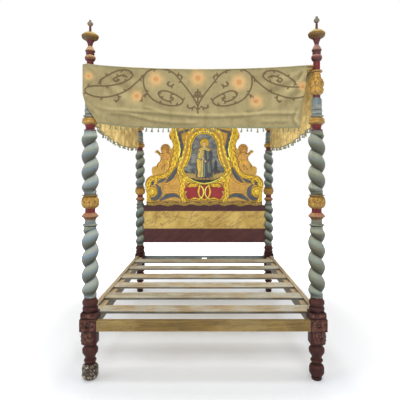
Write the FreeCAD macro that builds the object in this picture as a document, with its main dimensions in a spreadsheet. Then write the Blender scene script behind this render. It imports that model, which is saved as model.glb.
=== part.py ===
import FreeCAD
import Part
import math
import os

import Sketcher

# A painted four-poster bed with twisted posts, a carved headboard, loose slats and a cloth canopy.
# Frame: X to the right seen from the foot, Y towards the headboard, Z up, origin on the floor
# at the middle of the four posts. Lengths are in millimetres.

SIZES = {
    # Layout: distances between the post axes, across and along the bed
    "post_pitch_x": "1420",
    "post_pitch_y": "1900",
    # Clearances and the length by which every cutting tool runs past what it cuts
    "seat_clearance": "0.3",
    "joint_clearance": "0.5",
    "cut_overrun": "6",
    # Legs: turned foot and vase, three square blocks, turned collar
    "foot_height": "230",
    "foot_radius": "48",
    "lower_block_width": "94",
    "lower_block_height": "82",
    "lower_block_chamfer": "16",
    "main_block_width": "106",
    "main_block_height": "76",
    "upper_block_width": "96",
    "upper_block_height": "36",
    "collar_height": "92",
    "collar_radius": "47",
    # Twisted shafts and the spigots on their ends
    "lower_shaft_length": "439",
    "upper_shaft_length": "395",
    "twist_radius": "52",
    "twist_notch_radius": "29",
    "twist_pitch": "103",
    "twist_fade": "46",
    "shaft_end_radius": "37",
    "spigot_radius": "18",
    "spigot_length": "34",
    # Turned pieces above the shafts
    "urn_height": "203",
    "urn_radius": "52",
    "capital_height": "435",
    "capital_radius": "47.5",
    "finial_height": "287",
    "worn_finial_height": "263",
    "finial_radius": "52.5",
    "finial_dowel_radius": "8",
    "finial_dowel_length": "20",
    # Foot rail and head rail, flush with the outer faces of the blocks and tenoned into them
    "end_rail_thickness": "32",
    "end_rail_height": "66",
    "end_rail_rise": "5",
    "head_rail_height": "72",
    "head_rail_rise": "2",
    "end_tenon_thickness": "14",
    "end_tenon_margin": "9",
    "end_tenon_length": "36",
    "hand_slot_width": "52",
    "hand_slot_height": "18",
    "peg_radius": "5",
    "peg_depth": "32",
    # Side rails with a rebate for the slats, tenoned and bolted to the blocks
    "side_rail_thickness": "68",
    "side_rail_height": "88",
    "side_rail_rise": "2",
    "rebate_width": "38",
    "rebate_depth": "16",
    "tenon_thickness": "24",
    "tenon_margin": "12",
    "tenon_length": "40",
    "bolt_drop": "6",
    "bolt_radius": "5",
    "bolt_head_radius": "11",
    "bolt_head_height": "6",
    "bolt_recess": "7",
    "nut_width": "22",
    "nut_thickness": "10",
    "nut_inset": "30",
    # Slats
    "slat_thickness": "14",
    "slat_width": "130",
    "slat_end_gap": "3",
    # Headboard boards, crest and battens
    "headboard_rise": "28",
    "board_thickness": "30",
    "lower_board_height": "154",
    "middle_board_height": "192",
    "upper_board_height": "65",
    "board_housing_inset": "30",
    "crest_top_gap": "19",
    "crest_end_gap": "60",
    "batten_width": "60",
    "batten_thickness": "22",
    "batten_offset": "290",
    "batten_margin": "20",
    "batten_head_margin": "70",
    "screw_radius": "3",
    "screw_bite": "18",
    # Carvings laid on the front of the crest
    "niche_height": "537",
    "niche_width": "422",
    "niche_rise": "245",
    "niche_panel_thickness": "6",
    "niche_frame_side": "88",
    "niche_frame_head": "91",
    "niche_frame_drop": "22",
    "niche_frame_thickness": "18",
    "figure_headroom": "46",
    "figure_width": "216",
    "figure_thickness": "22",
    "figure_rise": "36",
    "cartouche_width": "412",
    "cartouche_height": "166",
    "cartouche_thickness": "12",
    "cartouche_rise": "57",
    "border_end_gap": "8",
    "border_height": "60",
    "border_thickness": "10",
    "border_drop": "10",
    "putto_height": "282",
    "putto_width": "196",
    "putto_thickness": "20",
    "putto_rise": "391",
    "putto_inset": "362",
    # Tester rods and the canopy cloth
    "rod_radius": "5",
    "rod_drop": "29",
    "rod_sag": "30",
    "rod_insert": "11",
    "rod_hole_play": "1.2",
    "cloth_thickness": "3",
    "roof_overhang": "24",
    "post_hole_gap": "4",
    "valance_standoff": "17",
    "valance_drop": "390",
    "valance_fold": "8",
    "wrap_radius": "46",
    "wrap_lift": "235",
    "wrap_fade": "330",
    "wrap_hem_rise": "41",
    "valance_end_gap": "60",
    "valance_end_slant": "44",
    "side_valance_end_gap": "52",
    "side_valance_front_drop": "335",
    "side_valance_back_drop": "375",
    "side_valance_sag": "62",
    "fringe_length": "30",
}

# Turned profiles, bottom to top: height share, radius share and bulge share of the run ending there.
# A bulge share is the height of the arc over the length of its chord, outward if positive.
PLAIN_FOOT_SHARES = (
    (0.000, 0.60, 0),
    (0.022, 0.67, 0),
    (0.085, 0.67, 0),
    (0.104, 0.59, 0),
    (0.270, 0.95, 0.18),
    (0.435, 0.56, 0.18),
    (0.465, 0.55, 0),
)
CARVED_FOOT_SHARES = (
    (0.000, 0.42, 0),
    (0.226, 0.97, 0.22),
    (0.445, 0.56, 0.20),
    (0.465, 0.55, 0),
)
VASE_SHARES = (
    (0.480, 0.62, 0),
    (0.565, 0.62, 0.44),
    (0.585, 0.60, 0),
    (0.620, 0.66, 0),
    (0.710, 0.88, -0.05),
    (0.790, 0.99, 0.12),
    (0.870, 0.91, 0.16),
    (0.955, 0.66, 0),
    (1.000, 0.66, 0),
)
COLLAR_SHARES = (
    (0.000, 0.92, 0),
    (0.060, 0.92, 0),
    (0.360, 0.92, 0.16),
    (0.370, 0.84, 0),
    (0.430, 0.84, 0),
    (0.440, 0.90, 0),
    (0.810, 0.90, 0.17),
    (0.860, 0.81, -0.10),
    (1.000, 0.79, 0),
)
URN_SHARES = (
    (0.000, 0.71, 0),
    (0.030, 0.80, 0),
    (0.080, 0.80, 0.40),
    (0.100, 0.65, 0),
    (0.205, 0.63, 0),
    (0.305, 0.94, -0.10),
    (0.345, 0.94, 0.36),
    (0.425, 0.66, 0.06),
    (0.440, 0.61, 0),
    (0.560, 0.61, -0.05),
    (0.570, 0.66, 0),
    (0.720, 1.00, 0.17),
    (0.940, 0.79, 0.13),
    (0.952, 0.79, 0),
    (0.960, 0.96, 0),
    (0.985, 0.96, 0.36),
    (0.992, 0.72, 0),
    (1.000, 0.72, 0),
)
CAPITAL_SHARES = (
    (0.000, 0.72, 0),
    (0.006, 0.72, 0),
    (0.022, 0.72, 0.45),
    (0.026, 0.58, 0),
    (0.060, 0.60, -0.03),
    (0.092, 0.76, -0.12),
    (0.104, 0.90, 0),
    (0.150, 0.96, 0.26),
    (0.186, 0.84, 0.22),
    (0.192, 0.74, 0),
    (0.204, 0.74, 0),
    (0.208, 0.84, 0),
    (0.224, 0.84, 0.40),
    (0.228, 0.68, 0),
    (0.284, 0.68, 0),
    (0.287, 0.72, 0),
    (0.299, 0.72, 0.40),
    (0.302, 0.66, 0),
    (0.440, 0.66, 0),
    (0.478, 0.48, 0.14),
    (0.515, 0.46, 0),
    (0.520, 0.52, 0),
    (0.630, 0.76, 0.20),
    (0.760, 0.58, 0.20),
    (0.832, 0.49, -0.04),
    (0.842, 0.49, 0),
    (0.848, 0.66, 0),
    (0.874, 0.66, 0.40),
    (0.882, 0.44, 0),
    (1.000, 0.44, 0),
)
NECK_RADIUS_SHARE = 0.44
FINIAL_SHARES = (
    (0.000, 0.38, 0),
    (0.018, 0.42, 0),
    (0.061, 0.60, 0.14),
    (0.150, 0.47, 0.19),
    (0.156, 0.42, 0),
    (0.162, 0.45, 0),
    (0.205, 0.45, 0.26),
    (0.211, 0.42, 0),
    (0.262, 0.58, 0.16),
    (0.362, 0.29, 0),
    (0.370, 0.25, 0),
    (0.505, 0.50, -0.06),
    (0.528, 0.74, -0.10),
    (0.590, 0.99, 0.15),
    (0.640, 0.88, 0.22),
    (0.705, 0.24, 0.10),
    (0.715, 0.15, 0),
    (0.850, 0.13, 0),
    (0.862, 0.20, 0),
    (0.914, 0.34, 0.14),
    (0.948, 0.18, 0.10),
    (0.978, 0.14, 0),
    (1.000, 0.05, 0.16),
)

# Outlines of the carved boards, right half from the bottom middle to the top middle:
# share of the half width, share of the height, bulge share of the run ending there
CREST_OUTLINE_SHARES = (
    (0.000, 0.000, 0),
    (0.985, 0.000, 0),
    (0.982, 0.092, 0),
    (0.984, 0.155, 0),
    (1.000, 0.215, 0.05),
    (0.871, 0.351, 0.22),
    (0.889, 0.405, 0.1),
    (0.831, 0.452, 0.3),
    (0.778, 0.483, -0.08),
    (0.746, 0.563, -0.1),
    (0.832, 0.617, -0.04),
    (0.779, 0.637, 0.3),
    (0.719, 0.600, -0.1),
    (0.735, 0.649, 0.1),
    (0.658, 0.711, 0.26),
    (0.579, 0.649, 0.26),
    (0.536, 0.672, -0.06),
    (0.536, 0.707, 0),
    (0.587, 0.771, -0.1),
    (0.576, 0.854, 0.14),
    (0.519, 0.907, 0.12),
    (0.333, 0.932, 0.16),
    (0.176, 0.963, -0.16),
    (0.000, 1.000, 0.14),
)
NICHE_OUTLINE_SHARES = (
    (0.00, 0.00, 0),
    (0.66, 0.075, 0.05),
    (1.00, 0.210, 0.10),
    (0.96, 0.330, 0.26),
    (0.66, 0.680, -0.06),
    (0.55, 0.870, 0.10),
    (0.00, 1.000, 0.20),
)
NICHE_FRAME_OUTLINE_SHARES = (
    (0.00, 0.000, 0),
    (0.50, 0.034, 0),
    (0.76, 0.080, 0.12),
    (0.90, 0.140, -0.10),
    (1.00, 0.250, 0.14),
    (0.88, 0.430, 0.04),
    (0.80, 0.570, -0.04),
    (0.72, 0.710, -0.03),
    (0.68, 0.845, 0.04),
    (0.50, 0.945, 0.14),
    (0.00, 1.000, 0.08),
)
BORDER_OUTLINE_SHARES = (
    (0.00, 0.30, 0),
    (0.13, 0.12, 0.10),
    (0.26, 0.32, -0.05),
    (0.38, 0.06, 0.10),
    (0.52, 0.30, -0.05),
    (0.66, 0.00, 0.10),
    (0.80, 0.26, -0.05),
    (0.92, 0.14, 0.10),
    (1.00, 0.45, 0.12),
    (0.96, 0.88, 0.12),
    (0.84, 1.00, 0.06),
    (0.70, 0.84, -0.04),
    (0.55, 1.00, 0.05),
    (0.40, 0.84, -0.04),
    (0.25, 1.00, 0.05),
    (0.12, 0.84, -0.04),
    (0.00, 0.96, 0.05),
)
CARTOUCHE_OUTLINE_SHARES = (
    (0.00, 0.03, 0),
    (0.86, 0.00, 0.03),
    (1.00, 0.40, 0.14),
    (0.80, 0.90, -0.05),
    (0.60, 1.00, 0.14),
    (0.00, 0.97, -0.02),
)
FIGURE_OUTLINE_SHARES = (
    (0.00, 0.00, 0),
    (0.95, 0.00, 0),
    (0.80, 0.42, -0.05),
    (0.74, 0.72, 0.06),
    (0.30, 0.80, 0.12),
    (0.42, 0.90, 0.26),
    (0.00, 1.00, 0.24),
)
# Putto on the right: share of its width outward, share of its height, bulge share
PUTTO_OUTLINE_SHARES = (
    (0.06, 0.00, 0),
    (0.74, 0.00, 0),
    (0.84, 0.14, 0.20),
    (0.60, 0.34, 0.14),
    (0.60, 0.56, -0.06),
    (0.95, 0.68, -0.06),
    (0.78, 0.73, 0.24),
    (0.58, 0.64, -0.06),
    (0.52, 0.69, 0),
    (0.38, 0.98, 0.36),
    (0.24, 0.69, 0.36),
    (0.12, 0.62, 0.10),
    (0.06, 0.30, 0.06),
)

# Slats, foot to head: place along the bed as a share of the post pitch, share of the slat width,
# and bow of its two long edges as a share of its length
SLAT_PLACE_SHARES = (0.070, 0.220, 0.372, 0.520, 0.698, 0.858)
SLAT_WIDTH_SHARES = (0.98, 1.02, 1.04, 1.10, 1.00, 1.16)
SLAT_BOW_SHARES = (0.004, -0.003, 0.003, -0.004, 0.003, -0.003)

# Screws in each batten above the three boards, as shares of the crest's height
CREST_SCREW_SHARES = (0.08, 0.60)

# Turning of the first twist bulge, as a share of a full turn
TWIST_START_SHARE = 0.25
TWIST_STEPS_PER_TURN = 10
TWIST_SECTION_POINTS = 12
TWIST_ROUNDNESS = 0.8

BOLT_HEAD_BULGE_SHARE = 0.2

FRONT_FOLDS = 8
WRAP_EDGE_BULGE_SHARE = 0.06
HEM_RISE_BULGE_SHARE = 0.02
SIDE_FOLDS = 12
WRAP_END_DEGREES = 307
HALF = 0.5
FULL_TURN_DEGREES = 360

# Each post's side of the bed: across, then along
POSTS = {
    "front_left": (-1, -1),
    "front_right": (1, -1),
    "back_left": (-1, 1),
    "back_right": (1, 1),
}

doc = FreeCAD.newDocument("canopy_bed")
sheet = doc.addObject("Spreadsheet::Sheet", "dims")
for row, (alias, number) in enumerate(SIZES.items(), start=1):
    sheet.set(f"A{row}", alias)
    sheet.set(f"B{row}", number)
    sheet.setAlias(f"B{row}", alias)
doc.recompute()


class Size:
    """A length: its value and the sheet formula that gives it."""

    def __init__(self, value, text):
        self.value = value
        self.text = text

    def __add__(self, other):
        return Size(self.value + other.value, f"({self.text} + {other.text})")

    def __sub__(self, other):
        return Size(self.value - other.value, f"({self.text} - {other.text})")

    def __mul__(self, factor):
        return Size(self.value * factor, f"({self.text} * ({factor!r}))")

    def __neg__(self):
        return self * -1


class Sheet:
    """Reads a driving dimension by its name."""

    def __getattr__(self, alias):
        return Size(float(sheet.get(alias)), f"dims.{alias}")


dim = Sheet()
ZERO = Size(0.0, "0")
nodes = []


def keep(thing, label):
    """Name a finished sub-part and put it on the list of what is written."""
    thing.Label = label
    nodes.append(thing)
    return thing


def bind(thing, **sizes):
    for name, size in sizes.items():
        thing.setExpression(name, size.text)


def place(thing, x, y, z):
    for axis, size in zip("xyz", (x, y, z)):
        thing.setExpression(f"Placement.Base.{axis}", size.text)


def box(name, lengths, corner):
    """A box given by its three lengths and its lowest corner."""
    solid = doc.addObject("Part::Box", name)
    bind(solid, Length=lengths[0], Width=lengths[1], Height=lengths[2])
    place(solid, *corner)
    return solid


def cylinder(name, radius, length, start, axis):
    """A cylinder that runs from start along the given axis."""
    solid = doc.addObject("Part::Cylinder", name)
    bind(solid, Radius=radius, Height=length)
    turn = FreeCAD.Rotation(FreeCAD.Vector(0, 0, 1), FreeCAD.Vector(*axis))
    solid.Placement = FreeCAD.Placement(FreeCAD.Vector(0, 0, 0), turn)
    place(solid, *start)
    return solid


def cut(name, base, tools):
    tool = doc.addObject("Part::Compound", f"{name}_tools")
    tool.Links = tools
    result = doc.addObject("Part::Cut", name)
    result.Base = base
    result.Tool = tool
    return result


def group(name, members):
    result = doc.addObject("Part::Compound", name)
    result.Links = members
    return result


def arc_middle(start, end, bulge_share):
    """The middle of an arc; a positive bulge lies to the right of the way from start to end."""
    along = end - start
    right = FreeCAD.Vector(along.y, -along.x, 0)
    return (start + end) * HALF + right * bulge_share


def run(start, end, bulge_share):
    """A straight line, or an arc where there is a bulge."""
    if bulge_share:
        return Part.Arc(start, arc_middle(start, end, bulge_share), end)
    return Part.LineSegment(start, end)


def sketch_on(body, role, name):
    plane = [feature for feature in body.Origin.OriginFeatures if feature.Role == role][0]
    sketch = body.newObject("Sketcher::SketchObject", name)
    sketch.AttachmentSupport = (plane, [""])
    sketch.MapMode = "FlatFace"
    return sketch


def draw_outline(sketch, corners):
    """Draw a closed outline; every corner and every arc's centre is bound to the sheet."""

    def tie(kind, size, *where):
        index = sketch.addConstraint(Sketcher.Constraint(kind, *where, size.value))
        sketch.setExpression(f"Constraints[{index}]", size.text)

    spots = [FreeCAD.Vector(x.value, y.value, 0) for x, y, bulge_share in corners]
    count = len(corners)
    runs = []
    for i in range(count):
        start, end = spots[i], spots[(i + 1) % count]
        bulge_share = corners[(i + 1) % count][2]
        if bulge_share < 0:
            # A sketch keeps its arcs anticlockwise, so a hollow one is drawn from its far end
            runs.append((sketch.addGeometry(run(end, start, -bulge_share), False), (2, 1)))
        else:
            runs.append((sketch.addGeometry(run(start, end, bulge_share), False), (1, 2)))
    for i in range(count):
        index, (first, last) = runs[i]
        following, (following_first, following_last) = runs[(i + 1) % count]
        sketch.addConstraint(Sketcher.Constraint("Coincident", index, last, following, following_first))
        x, y, unused_bulge = corners[i]
        if x.value:
            tie("DistanceX", x, -1, 1, index, first)
        else:
            sketch.addConstraint(Sketcher.Constraint("PointOnObject", index, first, -2))
        if y.value:
            tie("DistanceY", y, -1, 1, index, first)
        else:
            sketch.addConstraint(Sketcher.Constraint("PointOnObject", index, first, -1))
        next_x, next_y, bulge_share = corners[(i + 1) % count]
        if bulge_share:
            across, up = next_x - x, next_y - y
            lean = (4 * bulge_share ** 2 - 1) / (8 * bulge_share)
            if abs(up.value) >= abs(across.value):
                tie("DistanceX", (x + next_x) * HALF + up * lean, -1, 1, index, 3)
            else:
                tie("DistanceY", (y + next_y) * HALF - across * lean, -1, 1, index, 3)


def revolve(body, name, corners):
    sketch = sketch_on(body, "XZ_Plane", f"{name}_profile")
    draw_outline(sketch, corners)
    turned = body.newObject("PartDesign::Revolution", f"{name}_turned")
    turned.Profile = sketch
    turned.ReferenceAxis = (sketch, ["V_Axis"])
    turned.Angle = FULL_TURN_DEGREES
    sketch.Visibility = False


def pad(body, name, corners, base, height):
    """Raise an outline in the XY plane from the height base."""
    sketch = sketch_on(body, "XY_Plane", f"{name}_outline")
    draw_outline(sketch, corners)
    sketch.setExpression("AttachmentOffset.Base.z", base.text)
    raised = body.newObject("PartDesign::Pad", f"{name}_pad")
    raised.Profile = sketch
    bind(raised, Length=height)
    sketch.Visibility = False


def stations(shares, radius, height, base=ZERO):
    """Corners of a turned profile, from shares of its radius and height."""
    return [
        (radius * radius_share, base + height * height_share, bulge_share)
        for height_share, radius_share, bulge_share in shares
    ]


def turned_corners(outer, bottom_socket=None, top_socket=None):
    """Close a turned profile on the axis, with a round socket in either end."""
    bottom, top = outer[0][1], outer[-1][1]
    corners = []
    if bottom_socket:
        radius, depth = bottom_socket
        corners += [(ZERO, bottom + depth, 0), (radius, bottom + depth, 0), (radius, bottom, 0)]
    else:
        corners += [(ZERO, bottom, 0)]
    corners += outer
    if top_socket:
        radius, depth = top_socket
        corners += [(radius, top, 0), (radius, top - depth, 0), (ZERO, top - depth, 0)]
    else:
        corners += [(ZERO, top, 0)]
    return corners


# Heights above the floor of everything stacked in a post
block_foot = dim.foot_height + dim.lower_block_height
upper_block_foot = block_foot + dim.main_block_height
collar_foot = upper_block_foot + dim.upper_block_height
lower_shaft_foot = collar_foot + dim.collar_height
urn_foot = lower_shaft_foot + dim.lower_shaft_length
upper_shaft_foot = urn_foot + dim.urn_height
capital_foot = upper_shaft_foot + dim.upper_shaft_length
finial_foot = capital_foot + dim.capital_height
rod_level = finial_foot - dim.rod_drop

socket = (dim.spigot_radius + dim.seat_clearance, dim.spigot_length + dim.joint_clearance)
dowel_socket = (
    dim.finial_dowel_radius + dim.seat_clearance,
    dim.finial_dowel_length + dim.joint_clearance,
)
neck_radius = dim.capital_radius * NECK_RADIUS_SHARE

# Heights of the rails
end_rails = {
    -1: (block_foot + dim.end_rail_rise, dim.end_rail_height),
    1: (block_foot + dim.head_rail_rise, dim.head_rail_height),
}
end_tenon_inset = (dim.end_rail_thickness - dim.end_tenon_thickness) * HALF
side_rail_foot = block_foot + dim.side_rail_rise
bolt_level = side_rail_foot + dim.side_rail_height * HALF - dim.bolt_drop
rebate_floor = side_rail_foot + dim.side_rail_height - dim.rebate_depth

half_block = dim.main_block_width * HALF
hole_radius = dim.bolt_radius + dim.joint_clearance


def post_axis(sides):
    return dim.post_pitch_x * (HALF * sides[0]), dim.post_pitch_y * (HALF * sides[1])


def span(centre, direction, near, far):
    """Lowest edge and length of a stretch from near to far, measured from centre in a direction."""
    length = far - near
    if direction > 0:
        return centre + near, length
    return centre - far, length


def square(width, chamfer=None):
    """A square outline about the axis, with its corners cut off where a chamfer is given."""
    half = width * HALF
    if chamfer is None:
        return [(-half, -half, 0), (half, -half, 0), (half, half, 0), (-half, half, 0)]
    inner = half - chamfer
    return [
        (-inner, -half, 0), (inner, -half, 0), (half, -inner, 0), (half, inner, 0),
        (inner, half, 0), (-inner, half, 0), (-half, inner, 0), (-half, -inner, 0),
    ]


def leg_cuts(name, sides):
    """The mortises of an end rail and a side rail, the bolt's way and the peg's hole."""
    x, y = post_axis(sides)
    inward_x, inward_y = -sides[0], -sides[1]
    overrun, loose = dim.cut_overrun, dim.joint_clearance

    rail_foot, rail_height = end_rails[sides[1]]
    end_x = span(x, inward_x, half_block - dim.end_tenon_length - loose, half_block + overrun)
    end_y = span(y, -inward_y, half_block - dim.end_rail_thickness + end_tenon_inset - loose,
                 half_block - end_tenon_inset + loose)
    end_mortise = box(
        f"{name}_end_mortise",
        (end_x[1], end_y[1], rail_height - (dim.end_tenon_margin - loose) * 2),
        (end_x[0], end_y[0], rail_foot + dim.end_tenon_margin - loose),
    )

    mortise_half = dim.tenon_thickness * HALF + loose
    mortise_y = span(y, inward_y, half_block - dim.tenon_length - loose, half_block + overrun)
    mortise = box(
        f"{name}_mortise",
        (mortise_half * 2, mortise_y[1], dim.side_rail_height - (dim.tenon_margin - loose) * 2),
        (x - mortise_half, mortise_y[0], side_rail_foot + dim.tenon_margin - loose),
    )

    bolt_start = y - (half_block + overrun) * inward_y
    bolt_way = cylinder(
        f"{name}_bolt_way", hole_radius, (half_block + overrun) * 2,
        (x, bolt_start, bolt_level), (0, inward_y, 0),
    )
    recess = cylinder(
        f"{name}_bolt_recess", dim.bolt_head_radius + loose, dim.bolt_recess + overrun,
        (x, bolt_start, bolt_level), (0, inward_y, 0),
    )
    return [end_mortise, mortise, bolt_way, recess, peg_solid(f"{name}_peg_hole", sides, loose)]


def peg_solid(name, sides, extra):
    """The peg through a block and the tenon of a foot or head rail in it."""
    x, y = post_axis(sides)
    peg_x = x - (half_block - dim.end_tenon_length * HALF) * sides[0]
    rail_foot, rail_height = end_rails[sides[1]]
    start_y = y + half_block * sides[1]
    length = dim.peg_depth + extra
    return cylinder(
        name, dim.peg_radius + extra, length,
        (peg_x, start_y, rail_foot + rail_height * HALF), (0, -sides[1], 0),
    )


def make_leg(name, sides):
    body = doc.addObject("PartDesign::Body", f"{name}_leg_body")
    foot_shares = CARVED_FOOT_SHARES if name == "front_left" else PLAIN_FOOT_SHARES
    foot = stations(foot_shares + VASE_SHARES, dim.foot_radius, dim.foot_height)
    revolve(body, f"{name}_foot", turned_corners(foot))
    lower = square(dim.lower_block_width, dim.lower_block_chamfer)
    pad(body, f"{name}_lower_block", lower, dim.foot_height, dim.lower_block_height)
    pad(body, f"{name}_main_block", square(dim.main_block_width), block_foot, dim.main_block_height)
    upper = square(dim.upper_block_width)
    pad(body, f"{name}_upper_block", upper, upper_block_foot, dim.upper_block_height)
    collar = stations(COLLAR_SHARES, dim.collar_radius, dim.collar_height, collar_foot)
    revolve(body, f"{name}_collar", turned_corners(collar, top_socket=socket))
    x, y = post_axis(sides)
    place(body, x, y, ZERO)
    keep(cut(f"{name}_leg", body, leg_cuts(name, sides)), f"leg_{name}")


def twist_section(height, angle, depth_share):
    """One level of a twisted shaft: a round bulge that meets itself in a sharp notch."""
    notch, crest = dim.twist_notch_radius.value, dim.twist_radius.value
    end_radius = dim.shaft_end_radius.value
    points = []
    for step in range(TWIST_SECTION_POINTS):
        around = 2 * math.pi * step / TWIST_SECTION_POINTS - math.pi
        swell = abs(math.cos(around / 2)) ** TWIST_ROUNDNESS if step else 0
        radius = end_radius + (notch + (crest - notch) * swell - end_radius) * depth_share
        points.append(FreeCAD.Vector(
            radius * math.cos(around + angle), radius * math.sin(around + angle), height))
    points.append(points[0])
    curve = Part.BSplineCurve()
    curve.interpolate(points)
    return Part.Wire([curve.toShape()])


def twisted_shaft(length, hand):
    """A barley twist that fades to a round end at both ends, with a spigot on each."""
    pitch, fade = dim.twist_pitch.value, dim.twist_fade.value
    steps = round(length / pitch * TWIST_STEPS_PER_TURN)
    sections = []
    for step in range(steps + 1):
        height = length * step / steps
        rise = min(1, height / fade, (length - height) / fade)
        turns = TWIST_START_SHARE + height / pitch
        angle = hand * 2 * math.pi * turns
        sections.append(twist_section(height, angle, rise * rise * (3 - 2 * rise)))
    shaft = Part.makeLoft(sections, True, False)
    radius, reach = dim.spigot_radius.value, dim.spigot_length.value
    foot_spigot = Part.makeCylinder(radius, reach, FreeCAD.Vector(0, 0, -reach))
    head_spigot = Part.makeCylinder(radius, reach, FreeCAD.Vector(0, 0, length))
    return shaft.multiFuse([foot_spigot, head_spigot]).removeSplitter()


def make_shaft(label, sides, foot, length, slot=None):
    """A shaft of one post; the left posts turn one way and the right posts the other."""
    shape = twisted_shaft(length.value, -sides[0])
    if slot:
        shape = shape.cut(slot)
    solid = doc.addObject("Part::Feature", label)
    solid.Shape = shape.Solids[0]
    x, y = post_axis(sides)
    solid.Placement.Base = FreeCAD.Vector(x.value, y.value, foot.value)
    keep(solid, label)


def board_slot(sides):
    """The groove in a back shaft, open at the top, that holds the ends of the headboard's boards."""
    loose, overrun = dim.joint_clearance.value, dim.cut_overrun.value
    near = dim.board_housing_inset.value - loose
    width = dim.twist_radius.value + overrun - near
    thickness = dim.board_thickness.value + 2 * loose
    boards = dim.lower_board_height + dim.middle_board_height + dim.upper_board_height
    height = boards.value + 2 * loose
    left = -(near + width) if sides[0] > 0 else near
    corner = FreeCAD.Vector(left, -thickness * HALF, dim.headboard_rise.value - loose)
    return Part.makeBox(width, thickness, height, corner)


def make_turned(label, sides, foot, corners, cuts=None):
    body = doc.addObject("PartDesign::Body", f"{label}_body")
    revolve(body, label, corners)
    x, y = post_axis(sides)
    place(body, x, y, foot)
    if cuts:
        return keep(cut(f"{label}_cut", body, cuts), label)
    return keep(body, label)


def rod_holes(name, sides):
    """Two blind holes in the neck of a capital, for the rods that meet there."""
    x, y = post_axis(sides)
    radius = dim.rod_radius + dim.rod_hole_play
    near = neck_radius - dim.rod_insert - dim.joint_clearance
    length = dim.rod_insert + dim.joint_clearance + dim.cut_overrun
    across = cylinder(
        f"{name}_hole_across", radius, length,
        (x - near * sides[0], y, rod_level), (-sides[0], 0, 0),
    )
    along = cylinder(
        f"{name}_hole_along", radius, length,
        (x, y - near * sides[1], rod_level), (0, -sides[1], 0),
    )
    return [across, along]


def make_finial(name, sides):
    """A finial on its dowel; the one at the front left has lost some of its height."""
    height = dim.worn_finial_height if name == "front_left" else dim.finial_height
    outer = stations(FINIAL_SHARES, dim.finial_radius, height)
    dowel_end = -dim.finial_dowel_length
    dowel = [
        (ZERO, dowel_end, 0),
        (dim.finial_dowel_radius, dowel_end, 0),
        (dim.finial_dowel_radius, ZERO, 0),
    ]
    corners = dowel + outer + [(ZERO, outer[-1][1], 0)]
    make_turned(f"finial_{name}", sides, finial_foot, corners)


def make_post(name, sides):
    make_leg(name, sides)
    slot = board_slot(sides) if sides[1] > 0 else None
    make_shaft(f"lower_shaft_{name}", sides, lower_shaft_foot, dim.lower_shaft_length, slot)
    urn = turned_corners(stations(URN_SHARES, dim.urn_radius, dim.urn_height), socket, socket)
    make_turned(f"urn_{name}", sides, urn_foot, urn)
    make_shaft(f"upper_shaft_{name}", sides, upper_shaft_foot, dim.upper_shaft_length)
    capital = stations(CAPITAL_SHARES, dim.capital_radius, dim.capital_height)
    corners = turned_corners(capital, socket, dowel_socket)
    make_turned(f"capital_{name}", sides, capital_foot, corners, rod_holes(name, sides))
    make_finial(name, sides)


def make_end_rail(label, along):
    """A rail with a tenon on each end, and holes for its pegs; the head rail has a hand slot."""
    shoulder = dim.post_pitch_x * HALF - half_block
    rail_foot, rail_height = end_rails[along]
    axis_y = dim.post_pitch_y * (HALF * along)
    y = span(axis_y, along, half_block - dim.end_rail_thickness, half_block)
    beam = box(
        f"{label}_beam",
        (shoulder * 2, dim.end_rail_thickness, rail_height),
        (-shoulder, y[0], rail_foot),
    )
    tenon_end = shoulder + dim.end_tenon_length
    tenons = box(
        f"{label}_tenons",
        (tenon_end * 2, dim.end_tenon_thickness, rail_height - dim.end_tenon_margin * 2),
        (-tenon_end, y[0] + end_tenon_inset, rail_foot + dim.end_tenon_margin),
    )
    timber = doc.addObject("Part::MultiFuse", f"{label}_timber")
    timber.Shapes = [beam, tenons]
    timber.Refine = True
    cuts = [peg_solid(f"{label}_peg_hole_{side_name}", (side, along), dim.joint_clearance)
            for side_name, side in (("left", -1), ("right", 1))]
    if along > 0:
        cuts.append(box(
            f"{label}_hand_slot",
            (dim.hand_slot_width, dim.end_rail_thickness + dim.cut_overrun * 2, dim.hand_slot_height),
            (-dim.hand_slot_width * HALF, y[0] - dim.cut_overrun, rail_foot + rail_height * HALF),
        ))
    keep(cut(f"{label}_cut", timber, cuts), label)


def bolt_ways_in_rail(label, side):
    """For each end of a side rail, the bolt's hole and the pocket of its nut."""
    cuts = []
    for name, sides in POSTS.items():
        if sides[0] != side:
            continue
        x, y = post_axis(sides)
        end = half_block - dim.tenon_length - dim.cut_overrun
        way_start = y - end * sides[1]
        length = dim.tenon_length + dim.nut_inset + dim.nut_thickness + dim.cut_overrun * 2
        cuts.append(cylinder(
            f"{label}_{name}_way", hole_radius, length,
            (x, way_start, bolt_level), (0, -sides[1], 0),
        ))
        loose = dim.joint_clearance
        pocket_half = dim.nut_width * HALF + loose
        pocket_y = span(y, -sides[1], half_block + dim.nut_inset,
                        half_block + dim.nut_inset + dim.nut_thickness + loose)
        pocket_x = span(x, -side, -pocket_half, dim.side_rail_thickness * HALF + dim.cut_overrun)
        cuts.append(box(
            f"{label}_{name}_pocket",
            (pocket_x[1], pocket_y[1], pocket_half * 2),
            (pocket_x[0], pocket_y[0], bolt_level - pocket_half),
        ))
    return cuts


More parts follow.
